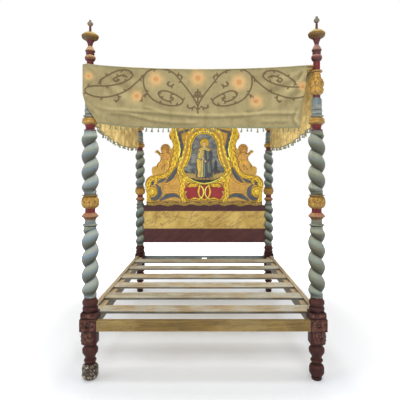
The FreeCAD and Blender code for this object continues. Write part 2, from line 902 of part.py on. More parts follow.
def make_side_rail(label, side):
    """A side rail with a tenon on each end and a rebate along its inner top edge."""
    x = dim.post_pitch_x * (HALF * side)
    shoulder = dim.post_pitch_y * HALF - half_block
    half_rail = dim.side_rail_thickness * HALF
    beam = box(
        f"{label}_beam",
        (dim.side_rail_thickness, shoulder * 2, dim.side_rail_height),
        (x - half_rail, -shoulder, side_rail_foot),
    )
    tenon_end = shoulder + dim.tenon_length
    tenons = box(
        f"{label}_tenons",
        (dim.tenon_thickness, tenon_end * 2, dim.side_rail_height - dim.tenon_margin * 2),
        (x - dim.tenon_thickness * HALF, -tenon_end, side_rail_foot + dim.tenon_margin),
    )
    timber = doc.addObject("Part::MultiFuse", f"{label}_timber")
    timber.Shapes = [beam, tenons]
    timber.Refine = True
    rebate_x = span(x, -side, half_rail - dim.rebate_width, half_rail + dim.cut_overrun)
    rebate = box(
        f"{label}_rebate",
        (rebate_x[1], (shoulder + dim.cut_overrun) * 2, dim.rebate_depth + dim.cut_overrun),
        (rebate_x[0], -(shoulder + dim.cut_overrun), rebate_floor),
    )
    keep(cut(f"{label}_cut", timber, [rebate] + bolt_ways_in_rail(label, side)), label)


def make_bolt(name, sides):
    """A bed bolt, turned about its own axis and laid along the side rail."""
    x, y = post_axis(sides)
    reach = half_block * 2 - dim.bolt_recess + dim.nut_inset + dim.nut_thickness
    head = -dim.bolt_head_height
    corners = [
        (ZERO, head, 0),
        (dim.bolt_head_radius * HALF, head, 0),
        (dim.bolt_head_radius, head * HALF, BOLT_HEAD_BULGE_SHARE),
        (dim.bolt_head_radius, ZERO, 0),
        (dim.bolt_radius, ZERO, 0),
        (dim.bolt_radius, reach, 0),
        (ZERO, reach, 0),
    ]
    body = doc.addObject("PartDesign::Body", f"{name}_bolt")
    revolve(body, f"{name}_bolt", corners)
    turn = FreeCAD.Rotation(FreeCAD.Vector(0, 0, 1), FreeCAD.Vector(0, -sides[1], 0))
    body.Placement = FreeCAD.Placement(FreeCAD.Vector(0, 0, 0), turn)
    place(body, x, y + (half_block - dim.bolt_recess) * sides[1], bolt_level)
    return body


def make_nut(name, sides):
    x, y = post_axis(sides)
    half_nut = dim.nut_width * HALF
    nut_y = span(y, -sides[1], half_block + dim.nut_inset, half_block + dim.nut_inset + dim.nut_thickness)
    plain = box(
        f"{name}_nut_plain",
        (dim.nut_width, dim.nut_thickness, dim.nut_width),
        (x - half_nut, nut_y[0], bolt_level - half_nut),
    )
    thread = cylinder(
        f"{name}_nut_hole", dim.bolt_radius + dim.seat_clearance,
        dim.nut_thickness + dim.cut_overrun * 2,
        (x, nut_y[0] - dim.cut_overrun, bolt_level), (0, 1, 0),
    )
    return cut(f"{name}_nut", plain, [thread])


def make_slat(number, place_share, width_share, bow_share):
    """A loose board lying in the rebates of the two side rails, its long edges slightly bowed."""
    label = f"slat_{number}"
    inner_face = dim.post_pitch_x * HALF - dim.side_rail_thickness * HALF
    half_length = inner_face + dim.rebate_width - dim.slat_end_gap
    half_width = dim.slat_width * (HALF * width_share)
    corners = [
        (-half_length, -half_width, 0),
        (half_length, -half_width, bow_share),
        (half_length, half_width, 0),
        (-half_length, half_width, -bow_share),
    ]
    body = doc.addObject("PartDesign::Body", f"{label}_body")
    pad(body, label, corners, ZERO, dim.slat_thickness)
    y = dim.post_pitch_y * (place_share - HALF)
    place(body, ZERO, y, rebate_floor)
    keep(body, label)


# Headboard: heights of its boards and the planes of its front and back
headboard_y = dim.post_pitch_y * HALF
headboard_front = headboard_y - dim.board_thickness * HALF
headboard_back = headboard_y + dim.board_thickness * HALF
lower_board_foot = lower_shaft_foot + dim.headboard_rise
middle_board_foot = lower_board_foot + dim.lower_board_height
upper_board_foot = middle_board_foot + dim.middle_board_height
crest_foot = upper_board_foot + dim.upper_board_height
crest_half = dim.post_pitch_x * HALF - dim.crest_end_gap
crest_height = rod_level - dim.rod_sag - dim.rod_radius - dim.crest_top_gap - crest_foot

screw_levels = [
    lower_board_foot + dim.lower_board_height * HALF,
    middle_board_foot + dim.middle_board_height * HALF,
    upper_board_foot + dim.upper_board_height * HALF,
] + [crest_foot + crest_height * share for share in CREST_SCREW_SHARES]


def screw_solid(name, side, level, extra):
    """A screw through a batten into the board behind which it stands."""
    back = headboard_back + dim.batten_thickness
    return cylinder(
        name, dim.screw_radius + extra, dim.batten_thickness + dim.screw_bite + extra,
        (dim.batten_offset * side, back, level), (0, -1, 0),
    )


def screw_holes(label, levels):
    return [
        screw_solid(f"{label}_hole_{side_name}_{number}", side, level, dim.seat_clearance)
        for side_name, side in (("left", -1), ("right", 1))
        for number, level in enumerate(levels)
    ]


def make_board(label, half_length, foot, height, level):
    plain = box(
        f"{label}_plain",
        (half_length * 2, dim.board_thickness, height),
        (-half_length, headboard_front, foot),
    )
    keep(cut(f"{label}_cut", plain, screw_holes(label, [level])), label)


def make_batten(label, side):
    half_batten = dim.batten_width * HALF
    batten_foot = lower_board_foot + dim.batten_margin
    batten_head = screw_levels[-1] + dim.batten_head_margin
    plain = box(
        f"{label}_plain",
        (dim.batten_width, dim.batten_thickness, batten_head - batten_foot),
        (dim.batten_offset * side - half_batten, headboard_back, batten_foot),
    )
    holes = [
        screw_solid(f"{label}_hole_{number}", side, level, dim.seat_clearance)
        for number, level in enumerate(screw_levels)
    ]
    return cut(f"{label}_cut", plain, holes)


def mirrored(half_corners):
    """A whole outline from its right half; the far half runs back down the left."""
    left = []
    for i in range(len(half_corners) - 1, 0, -1):
        x, z, unused_bulge = half_corners[i - 1]
        left.append((-x, z, half_corners[i][2]))
    return half_corners + left[:-1], left[-1][2]


def outline_wire(corners, closing_bulge):
    """A closed wire in the XY plane through corners with bulges."""
    spots = [FreeCAD.Vector(x, y, 0) for x, y, bulge_share in corners]
    edges = [
        run(spots[i], spots[i + 1], corners[i + 1][2]).toShape()
        for i in range(len(corners) - 1)
    ]
    edges.append(run(spots[-1], spots[0], closing_bulge).toShape())
    return Part.Wire(edges)


def stand_up(shape, foot):
    """Turn a flat outline up into the plane that faces the foot of the bed, at a height."""
    shape.rotate(FreeCAD.Vector(0, 0, 0), FreeCAD.Vector(1, 0, 0), FULL_TURN_DEGREES / 4)
    shape.translate(FreeCAD.Vector(0, 0, foot))
    return shape


def scaled(shares, width, height):
    return [(x * width, z * height, bulge_share) for x, z, bulge_share in shares]


def symmetric_wire(shares, half_width, height):
    return outline_wire(*mirrored(scaled(shares, half_width, height)))


def carve(label, face, back, thickness, cuts=None):
    """Give an upright outline its thickness, from its back plane towards the foot of the bed."""
    flat = doc.addObject("Part::Feature", f"{label}_outline")
    flat.Shape = face
    solid = doc.addObject("Part::Extrusion", f"{label}_solid")
    solid.Base = flat
    solid.DirMode = "Custom"
    solid.Dir = FreeCAD.Vector(0, -1, 0)
    bind(solid, LengthFwd=thickness)
    solid.Solid = True
    place(solid, ZERO, back, ZERO)
    if cuts:
        return keep(cut(f"{label}_cut", solid, cuts), label)
    return keep(solid, label)


def make_crest():
    """The crest board and the carvings that lie on its front."""
    wire = symmetric_wire(CREST_OUTLINE_SHARES, crest_half.value, crest_height.value)
    crest_levels = screw_levels[-len(CREST_SCREW_SHARES):]
    crest_holes = screw_holes("crest_board", crest_levels)
    crest_face = stand_up(Part.Face(wire), crest_foot.value)
    carve("crest_board", crest_face, headboard_back, dim.board_thickness, crest_holes)

    niche_half = dim.niche_width.value * HALF
    niche_foot = (crest_foot + dim.niche_rise).value
    niche = symmetric_wire(NICHE_OUTLINE_SHARES, niche_half, dim.niche_height.value)
    niche_face = stand_up(Part.Face(niche), niche_foot)
    carve("niche_panel", niche_face, headboard_front, dim.niche_panel_thickness)

    frame_half = niche_half + dim.niche_frame_side.value
    frame_foot = niche_foot - dim.niche_frame_drop.value
    frame_height = (dim.niche_height + dim.niche_frame_drop + dim.niche_frame_head).value
    frame_outline = symmetric_wire(NICHE_FRAME_OUTLINE_SHARES, frame_half, frame_height)
    opening = stand_up(Part.Face(niche.makeOffset2D(dim.joint_clearance.value)), niche_foot)
    ring_face = stand_up(Part.Face(frame_outline), frame_foot).cut(opening).Faces[0]
    carve("niche_frame", ring_face, headboard_front, dim.niche_frame_thickness)

    figure_half = dim.figure_width.value * HALF
    figure_height = (dim.niche_height - dim.figure_rise - dim.figure_headroom).value
    figure = symmetric_wire(FIGURE_OUTLINE_SHARES, figure_half, figure_height)
    figure_face = stand_up(Part.Face(figure), niche_foot + dim.figure_rise.value)
    niche_front = headboard_front - dim.niche_panel_thickness
    carve("robed_figure", figure_face, niche_front, dim.figure_thickness)

    border_half = (crest_half - dim.border_end_gap).value
    border = symmetric_wire(BORDER_OUTLINE_SHARES, border_half, dim.border_height.value)
    border_face = stand_up(Part.Face(border), (crest_foot - dim.border_drop).value)
    carve("crest_border", border_face, headboard_front, dim.border_thickness)

    cartouche_half = dim.cartouche_width.value * HALF
    cartouche = symmetric_wire(CARTOUCHE_OUTLINE_SHARES, cartouche_half, dim.cartouche_height.value)
    cartouche_face = stand_up(Part.Face(cartouche), (crest_foot + dim.cartouche_rise).value)
    carve("cartouche", cartouche_face, headboard_front, dim.cartouche_thickness)

    for side_name, side in (("left", -1), ("right", 1)):
        corners = [
            (side * (dim.putto_inset.value + x), z, side * bulge_share)
            for x, z, bulge_share in scaled(
                PUTTO_OUTLINE_SHARES, dim.putto_width.value, dim.putto_height.value)
        ]
        putto = stand_up(Part.Face(outline_wire(corners, 0)), (crest_foot + dim.putto_rise).value)
        carve(f"putto_{side_name}", putto, headboard_front, dim.putto_thickness)


# Canopy: the line of the roof's underside, which the rods carry and the valances hang from
roof_level = rod_level + dim.rod_radius + dim.seat_clearance
bow_half = dim.post_pitch_x * HALF - dim.rod_radius - dim.seat_clearance


def bowed_line(level, overhang):
    """A line across the bed at a height: level at both sides, sagging between the side rods."""
    bow, end, sag = bow_half.value, overhang, dim.rod_sag.value
    corners = [FreeCAD.Vector(x, 0, level) for x in (-end, -bow, bow, end)]
    dip = FreeCAD.Vector(0, 0, level - sag)
    return [
        Part.LineSegment(corners[0], corners[1]).toShape(),
        Part.Arc(corners[1], dip, corners[2]).toShape(),
        Part.LineSegment(corners[2], corners[3]).toShape(),
    ]


def band_face(line, thickness):
    """The face between a line and the same line raised by a thickness."""
    raised = [edge.translated(FreeCAD.Vector(0, 0, thickness)) for edge in line]
    ends = [
        Part.LineSegment(line[i].Vertexes[j].Point, raised[i].Vertexes[j].Point).toShape()
        for i, j in ((0, 0), (-1, -1))
    ]
    return Part.Face(Part.Wire(Part.sortEdges(line + raised + ends)[0]))


def make_bowed_rod(label, along):
    """An iron rod between two posts, bowed by the weight of the cloth."""
    reach = dim.post_pitch_x.value * HALF - neck_radius.value + dim.rod_insert.value
    bow, sag = bow_half.value, dim.rod_sag.value
    radius = (bow ** 2 + sag ** 2) / (2 * sag)
    end_dip = sag - radius + math.sqrt(radius ** 2 - reach ** 2)
    level = rod_level.value
    start = FreeCAD.Vector(-reach, 0, level - end_dip)
    end = FreeCAD.Vector(reach, 0, level - end_dip)
    path = Part.Arc(start, FreeCAD.Vector(0, 0, level - sag), end).toShape()
    ring = Part.Circle(start, path.tangentAt(path.FirstParameter), dim.rod_radius.value)
    rod = doc.addObject("Part::Feature", label)
    rod.Shape = Part.Wire([path]).makePipeShell([Part.Wire([ring.toShape()])], True, False)
    rod.Placement.Base = FreeCAD.Vector(0, dim.post_pitch_y.value * HALF * along, 0)
    keep(rod, label)


def make_side_rod(label, side):
    reach = dim.post_pitch_y * HALF - neck_radius + dim.rod_insert
    x = dim.post_pitch_x * (HALF * side)
    keep(cylinder(label, dim.rod_radius, reach * 2, (x, -reach, rod_level), (0, 1, 0)), label)


def make_roof():
    """The top of the canopy, its four corners cut out for the necks of the posts."""
    end = (dim.post_pitch_x * HALF + dim.roof_overhang).value
    profile = doc.addObject("Part::Feature", "canopy_roof_profile")
    profile.Shape = band_face(bowed_line(roof_level.value, end), dim.cloth_thickness.value)
    half_length = dim.post_pitch_y * HALF + dim.roof_overhang
    sheet_solid = doc.addObject("Part::Extrusion", "canopy_roof_sheet")
    sheet_solid.Base = profile
    sheet_solid.DirMode = "Custom"
    sheet_solid.Dir = FreeCAD.Vector(0, 1, 0)
    bind(sheet_solid, LengthFwd=half_length * 2)
    sheet_solid.Solid = True
    place(sheet_solid, ZERO, -half_length, ZERO)
    reach = neck_radius + dim.post_hole_gap
    past = dim.roof_overhang + dim.cut_overrun
    corners = []
    for name, sides in POSTS.items():
        x, y = post_axis(sides)
        corner_x = span(x, sides[0], -reach, past)
        corner_y = span(y, sides[1], -reach, past)
        corners.append(box(
            f"{name}_roof_corner",
            (corner_x[1], corner_y[1], dim.cloth_thickness + dim.cut_overrun * 2),
            (corner_x[0], corner_y[0], roof_level - dim.cut_overrun),
        ))
    keep(cut("canopy_roof_cut", sheet_solid, corners), "canopy_roof")


def folds(start, end, count):
    """Corners of a gently folded line of cloth seen from above, arcs to either side in turn."""
    chord = (end - start).Length / count
    bulge_share = dim.valance_fold.value / chord
    points = []
    for step in range(1, count + 1):
        spot = start + (end - start) * (step / count)
        points.append((spot, bulge_share if step % 2 else -bulge_share))
    return points


def curtain(points, offset, height):
    """An upright strip of cloth along points with bulges, as thick as offset is long."""
    edges = []
    for i in range(1, len(points)):
        edges.append(run(points[i - 1][0], points[i][0], points[i][1]).toShape())
    far = [edge.translated(offset) for edge in edges]
    ends = [
        Part.LineSegment(points[i][0], points[i][0] + offset).toShape()
        for i in (0, -1)
    ]
    wire = Part.Wire(Part.sortEdges(edges + far + ends)[0])
    return Part.Face(wire).extrude(FreeCAD.Vector(0, 0, height))


def above_roof():
    """Everything at or above the underside of the roof, as a cutting tool."""
    reach = (dim.post_pitch_x * HALF + dim.roof_overhang + dim.wrap_radius).value
    depth = dim.post_pitch_y.value + 2 * dim.wrap_radius.value + 2 * dim.roof_overhang.value
    face = band_face(bowed_line(roof_level.value, reach), dim.valance_drop.value)
    tool = face.extrude(FreeCAD.Vector(0, depth, 0))
    tool.translate(FreeCAD.Vector(0, -depth * HALF, 0))
    return tool


def hung_cloth(label, strip, elevation, sweep):
    """Trim a strip of cloth to its outline seen from one side and to the roof above it."""
    solid = doc.addObject("Part::Feature", label)
    shape = strip.common(elevation.extrude(sweep)).cut(above_roof())
    solid.Shape = shape.Solids[0]
    return solid


def upright_face(corners, closing_bulge):
    return stand_up(Part.Face(outline_wire(corners, closing_bulge)), 0)


def make_front_valance():
    """The front drop: it passes in front of the left post and stops short of the right one."""
    half_x, front = dim.post_pitch_x.value * HALF, -dim.post_pitch_y.value * HALF
    post = FreeCAD.Vector(-half_x, front, 0)
    wrap = dim.wrap_radius.value

    def round_post(degrees):
        angle = math.radians(degrees)
        return post + FreeCAD.Vector(wrap * math.cos(angle), wrap * math.sin(angle), 0)

    half_turn_degrees = FULL_TURN_DEGREES / 2
    sweep_degrees = WRAP_END_DEGREES - half_turn_degrees
    wrap_bulge_share = math.tan(math.radians(sweep_degrees) / 4) / 2
    line = front - dim.valance_standoff.value
    first_fold = FreeCAD.Vector(-half_x + dim.wrap_fade.value * HALF, line, 0)
    last_fold = FreeCAD.Vector(half_x - dim.valance_end_gap.value, line, 0)
    points = [(round_post(half_turn_degrees), 0), (round_post(WRAP_END_DEGREES), wrap_bulge_share)]
    points += [(first_fold, 0)] + folds(first_fold, last_fold, FRONT_FOLDS)

    level, drop = roof_level.value, dim.valance_drop.value
    left, right = -half_x - wrap, half_x - dim.valance_end_gap.value
    hem = level - drop
    fringe_hem = hem - dim.fringe_length.value
    lift, rise = dim.wrap_lift.value, dim.wrap_hem_rise.value
    left_end = -half_x + dim.main_block_width.value * HALF
    right_end = right - dim.valance_end_slant.value
    top = level + dim.cut_overrun.value
    outline = [
        (left - dim.cut_overrun.value, top, 0),
        (left - dim.cut_overrun.value, hem + lift, 0),
        (left_end, hem + rise, WRAP_EDGE_BULGE_SHARE),
        (left_end + dim.wrap_fade.value, hem, HEM_RISE_BULGE_SHARE),
        (right_end, hem, 0),
        (right, top, 0),
    ]
    strip_offset = FreeCAD.Vector(0, -dim.cloth_thickness.value, 0)
    foot = FreeCAD.Vector(0, 0, fringe_hem)
    strip = curtain([(spot + foot, bulge) for spot, bulge in points], strip_offset, drop * 2)
    sweep = FreeCAD.Vector(0, -dim.post_pitch_y.value, 0)
    keep(hung_cloth("front_drop", strip, upright_face(outline, 0), sweep), "valance_front")
    fringe = [
        (left_end, hem + rise, 0),
        (left_end, fringe_hem + rise, 0),
        (left_end + dim.wrap_fade.value, fringe_hem, HEM_RISE_BULGE_SHARE),
        (right_end, fringe_hem, 0),
        (right_end, hem, 0),
        (left_end + dim.wrap_fade.value, hem, 0),
    ]
    return hung_cloth("front_fringe", strip, upright_face(fringe, -HEM_RISE_BULGE_SHARE), sweep)


def make_side_valance(side_name, side):
    """A side drop between a front and a back post, its hem sagging towards the middle."""
    x = (dim.post_pitch_x.value * HALF + dim.valance_standoff.value) * side
    half_length = dim.post_pitch_y.value * HALF - dim.side_valance_end_gap.value
    start, end = FreeCAD.Vector(x, -half_length, 0), FreeCAD.Vector(x, half_length, 0)
    points = [(start, 0)] + folds(start, end, SIDE_FOLDS)

    level = roof_level.value
    front_hem = level - dim.side_valance_front_drop.value
    back_hem = level - dim.side_valance_back_drop.value
    bulge_share = dim.side_valance_sag.value / (2 * half_length)
    fringe = dim.fringe_length.value
    top = level + dim.cut_overrun.value
    outline = [
        (-half_length, top, 0),
        (-half_length, front_hem, 0),
        (half_length, back_hem, bulge_share),
        (half_length, top, 0),
    ]
    offset = FreeCAD.Vector(dim.cloth_thickness.value * side, 0, 0)
    lowest = FreeCAD.Vector(0, 0, front_hem - dim.valance_drop.value)
    strip = curtain([(spot + lowest, bulge) for spot, bulge in points], offset, top - lowest.z)

    def side_face(corners, closing_bulge):
        face = upright_face(corners, closing_bulge)
        face.rotate(FreeCAD.Vector(0, 0, 0), FreeCAD.Vector(0, 0, 1), FULL_TURN_DEGREES / 4)
        return face

    sweep = FreeCAD.Vector(dim.post_pitch_x.value * side, 0, 0)
    keep(hung_cloth(f"{side_name}_drop", strip, side_face(outline, 0), sweep), f"valance_{side_name}")
    hem_outline = [
        (-half_length, front_hem, 0),
        (-half_length, front_hem - fringe, 0),
        (half_length, back_hem - fringe, bulge_share),
        (half_length, back_hem, 0),
    ]
    return hung_cloth(f"{side_name}_fringe", strip, side_face(hem_outline, -bulge_share), sweep)


for post_name, post_sides in POSTS.items():
    make_post(post_name, post_sides)

make_end_rail("foot_rail", -1)
make_end_rail("head_rail", 1)
make_side_rail("side_rail_left", -1)
make_side_rail("side_rail_right", 1)
keep(group("bolts", [make_bolt(name, sides) for name, sides in POSTS.items()]), "bed_bolts")
keep(group("nuts", [make_nut(name, sides) for name, sides in POSTS.items()]), "bolt_nuts")
keep(group("pegs", [peg_solid(f"{name}_peg", sides, ZERO) for name, sides in POSTS.items()]), "rail_pegs")

for index, slat in enumerate(zip(SLAT_PLACE_SHARES, SLAT_WIDTH_SHARES, SLAT_BOW_SHARES), start=1):
    make_slat(index, *slat)

housed_half = dim.post_pitch_x * HALF - dim.board_housing_inset
make_board("headboard_lower", housed_half, lower_board_foot, dim.lower_board_height, screw_levels[0])
make_board("headboard_middle", housed_half, middle_board_foot, dim.middle_board_height, screw_levels[1])
make_board("headboard_upper", housed_half, upper_board_foot, dim.upper_board_height, screw_levels[2])
make_crest()
keep(group("battens", [make_batten("batten_left", -1), make_batten("batten_right", 1)]), "crest_battens")
screws = [
    screw_solid(f"screw_{side_name}_{number}", side, level, ZERO)
    for side_name, side in (("left", -1), ("right", 1))
    for number, level in enumerate(screw_levels)
]
keep(group("screws", screws), "batten_screws")

make_bowed_rod("tester_rod_front", -1)
make_bowed_rod("tester_rod_back", 1)
make_side_rod("tester_rod_left", -1)
make_side_rod("tester_rod_right", 1)
make_roof()
fringes = [make_front_valance(), make_side_valance("left", -1), make_side_valance("right", 1)]
keep(group("fringes", fringes), "valance_fringe")

doc.recompute()
for thing in doc.Objects:
    if "Invalid" in thing.State or "Error" in thing.State:
        raise RuntimeError(f"{thing.Label} did not build: {thing.State}")
for node in nodes:
    if node.Shape.isNull() or not node.Shape.isValid():
        raise RuntimeError(f"{node.Label} has no sound shape")

os.makedirs("parts", exist_ok=True)
for node in nodes:
    node.Shape.exportStep(f"parts/{node.Label}.step")
print(len(nodes), "sub-parts written")
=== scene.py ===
import math

import bmesh
import bpy
import numpy as np
from mathutils import Euler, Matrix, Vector


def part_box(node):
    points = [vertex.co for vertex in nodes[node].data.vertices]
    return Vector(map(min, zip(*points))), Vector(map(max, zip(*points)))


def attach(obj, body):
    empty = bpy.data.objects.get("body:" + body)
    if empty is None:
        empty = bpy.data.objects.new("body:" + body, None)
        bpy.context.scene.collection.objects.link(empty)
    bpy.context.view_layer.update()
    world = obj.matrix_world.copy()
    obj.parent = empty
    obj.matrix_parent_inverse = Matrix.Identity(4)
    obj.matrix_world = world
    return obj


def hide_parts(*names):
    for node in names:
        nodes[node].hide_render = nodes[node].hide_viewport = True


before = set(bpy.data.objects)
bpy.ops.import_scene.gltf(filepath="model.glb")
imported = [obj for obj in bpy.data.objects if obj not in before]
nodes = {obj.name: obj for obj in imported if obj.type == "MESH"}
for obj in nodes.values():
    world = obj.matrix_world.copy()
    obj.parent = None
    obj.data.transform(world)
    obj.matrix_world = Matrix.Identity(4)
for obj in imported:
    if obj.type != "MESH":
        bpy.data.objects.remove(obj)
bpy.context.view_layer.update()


# Studio. The camera stands level before the foot of the bed, close to its middle line, with a wide
# lens. Soft light comes from above, from both sides and, faintly, from under the canopy; the floor and
# the wall behind are white, and the floor is shaded under the bed.
scene = bpy.context.scene
FRAME_PX = 400
EYE = (0.013, -3.434, 1.266)
FOCAL_PX = 396
EYE_LINE_PX = (205.5, 177)
SENSOR_MM = 36
SKY_LIGHT = 0.42

camera_data = bpy.data.cameras.new("camera")
camera_data.sensor_width = SENSOR_MM
camera_data.lens = FOCAL_PX / FRAME_PX * SENSOR_MM
camera_data.shift_x = (FRAME_PX / 2 - EYE_LINE_PX[0]) / FRAME_PX
camera_data.shift_y = (EYE_LINE_PX[1] - FRAME_PX / 2) / FRAME_PX
camera = bpy.data.objects.new("camera", camera_data)
camera.location = EYE
camera.rotation_euler = Euler((math.pi / 2, 0, 0))
scene.collection.objects.link(camera)
scene.camera = camera
scene.view_settings.view_transform = "Standard"


class Graph:
    """Adds and joins the nodes of one material or node group."""

    def __init__(self, tree):
        self.tree = tree

    def add(self, kind, inputs, **settings):
        node = self.tree.nodes.new("ShaderNode" + kind)
        for key, value in settings.items():
            setattr(node, key, value)
        for key, value in inputs.items():
            self.join(value, node.inputs[key])
        return node

    def join(self, value, socket):
        if isinstance(value, bpy.types.NodeSocket):
            self.tree.links.new(value, socket)
        else:
            socket.default_value = value

    def place(self):
        return self.add("TexCoord", {}).outputs["Object"]

    def parts(self, vector):
        return self.add("SeparateXYZ", {"Vector": vector}).outputs

    def facing(self):
        """The way the surface faces, as x, y and z."""
        return self.parts(self.add("NewGeometry", {}).outputs["Normal"])

    def mark(self, label, output="Fac"):
        """A value that the points of the mesh carry; nothing where they carry none."""
        return self.add("Attribute", {}, attribute_name=label).outputs[output]

    def stretch(self, where, scale):
        return self.add("VectorMath", {0: where, 1: scale}, operation="MULTIPLY").outputs[0]

    def noise(self, where, scale, detail=4.0, roughness=0.55):
        settings = {"Vector": where, "Scale": scale, "Detail": detail, "Roughness": roughness}
        return self.add("TexNoise", settings).outputs["Fac"]

    def math(self, operation, first, second=0.0):
        return self.add("Math", {0: first, 1: second}, operation=operation).outputs[0]

    def times(self, first, second):
        return self.math("MULTIPLY", first, second)

    def plus(self, first, second):
        return self.math("ADD", first, second)

    def less(self, first, second):
        return self.math("SUBTRACT", first, second)

    def most(self, first, second):
        return self.math("MAXIMUM", first, second)

    def ease(self, value, low, high, start=0.0, end=1.0):
        """A smooth step from start to end while value goes from low to high."""
        settings = {"Value": value, "From Min": low, "From Max": high, "To Min": start, "To Max": end}
        return self.add("MapRange", settings, interpolation_type="SMOOTHSTEP").outputs["Result"]

    def mix(self, share, first, second):
        node = self.add("Mix", {}, data_type="RGBA")
        self.join(share, node.inputs[0])
        self.join(first, node.inputs[6])
        self.join(second, node.inputs[7])
        return node.outputs[2]

    def dim(self, shade, share):
        """A colour made darker or lighter by a share."""
        return self.add("VectorMath", {0: shade, "Scale": share}, operation="SCALE").outputs[0]

    def openness(self, reach, inside=False):
        """1 in the open and less in a hollow; looked at from inside, less at an edge."""
        return self.add("AmbientOcclusion", {"Distance": reach}, samples=6, inside=inside).outputs["AO"]

    def group(self, tree, inputs):
        node = self.tree.nodes.new("ShaderNodeGroup")
        node.node_tree = tree
        for key, value in inputs.items():
            self.join(value, node.inputs[key])
        return node.outputs


WHITE = (1.0, 1.0, 1.0, 1.0)
world = bpy.data.worlds.new("studio")
world.use_nodes = True
backdrop = world.node_tree.nodes["Background"].inputs
sky = Graph(world.node_tree)
seen = sky.add("LightPath", {}).outputs["Is Camera Ray"]
glow = sky.add("MapRange", {"Value": seen, "To Min": SKY_LIGHT, "To Max": 1.0})
sky.join(glow.outputs["Result"], backdrop["Strength"])
sky.join(WHITE, backdrop["Color"])
scene.world = world


def soft_light(name, place, target, width, power):
    data = bpy.data.lights.new(name, "AREA")
    data.size = width
    data.energy = power
    light = bpy.data.objects.new(name, data)
    light.location = place
    light.rotation_euler = (Vector(target) - Vector(place)).to_track_quat("-Z", "Y").to_euler()
    light.visible_camera = False
    scene.collection.objects.link(light)


soft_light("key_light", (0.3, -4.6, 3.8), (0, -0.2, 1.1), 1.6, 85)
soft_light("left_light", (-4.4, -2.4, 2.8), (0, 0, 1.0), 3.0, 50)
soft_light("right_light", (4.4, -2.0, 2.4), (0, 0, 1.0), 3.0, 20)
soft_light("top_light", (0, 0.4, 5.6), (0, 0.2, 0), 4.0, 150)
soft_light("head_light", (0, -0.6, 1.68), (0, 0.95, 1.25), 0.34, 3)
soft_light("bed_light", (0, -0.45, 1.86), (0, -0.45, 0), 0.5, 6)

FLOOR_HALF = 30.0
SHADED_FLOOR, WHITE_FLOOR = 1.1, 2.6
SHADED_GLOW = 0.18
FLOOR_COLOR = (0.765, 0.79, 0.83, 1.0)
floor_mesh = bpy.data.meshes.new("floor")
floor_mesh.from_pydata(
    [(-FLOOR_HALF, -FLOOR_HALF, 0), (FLOOR_HALF, -FLOOR_HALF, 0),
     (FLOOR_HALF, FLOOR_HALF, 0), (-FLOOR_HALF, FLOOR_HALF, 0)], [], [(0, 1, 2, 3)])
floor = bpy.data.objects.new("floor", floor_mesh)
scene.collection.objects.link(floor)
floor_paint = bpy.data.materials.new("white_floor")
floor_paint.use_nodes = True
floor_graph = Graph(floor_paint.node_tree)
from_middle = floor_graph.add("VectorMath", {0: floor_graph.place()}, operation="LENGTH").outputs["Value"]
# The floor glows with painted light, faint near the bed and rising to full white further out.
floor_inputs = {
    "Base Color": FLOOR_COLOR, "Roughness": 0.9, "Specular IOR Level": 0.0, "Emission Color": WHITE,
    "Emission Strength": floor_graph.ease(from_middle, SHADED_FLOOR, WHITE_FLOOR, SHADED_GLOW),
}
for label, value in floor_inputs.items():
    floor_graph.join(value, floor_paint.node_tree.nodes["Principled BSDF"].inputs[label])
floor_mesh.materials.append(floor_paint)


# Legs. Each is one squared and turned timber: foot, vase, three blocks and a collar, painted a dark
# maroon that is rubbed on its edges. Panels are carved on the outer faces of the blocks, and the
# front left leg stands on a carved ball that was once gilded.
MM = 0.001


def tone(red, green, blue):
    """A colour as the eye reads it, 0 to 255 each, as a shader socket takes it."""
    shares = [value / 255 for value in (red, green, blue)]
    linear = [s / 12.92 if s <= 0.04045 else ((s + 0.055) / 1.055) ** 2.4 for s in shares]
    return (*linear, 1.0)


def shader_group(name, inputs, build):
    """A node group with named inputs, and with the outputs that a function of its graph and inputs gives."""
    tree = bpy.data.node_groups.new(name, "ShaderNodeTree")
    for label, value in inputs.items():
        kind = "NodeSocketFloat" if isinstance(value, float) else "NodeSocketColor"
        kind = "NodeSocketVector" if isinstance(value, tuple) and len(value) == 3 else kind
        tree.interface.new_socket(name=label, in_out="INPUT", socket_type=kind).default_value = value
    graph = Graph(tree)
    channels = build(graph, tree.nodes.new("NodeGroupInput").outputs)
    for label in channels:
        kind = "NodeSocketColor" if label == "Color" else "NodeSocketFloat"
        tree.interface.new_socket(name=label, in_out="OUTPUT", socket_type=kind)
    wanted = tree.nodes.new("NodeGroupOutput").inputs
    for label, value in channels.items():
        graph.join(value, wanted[label])
    return tree


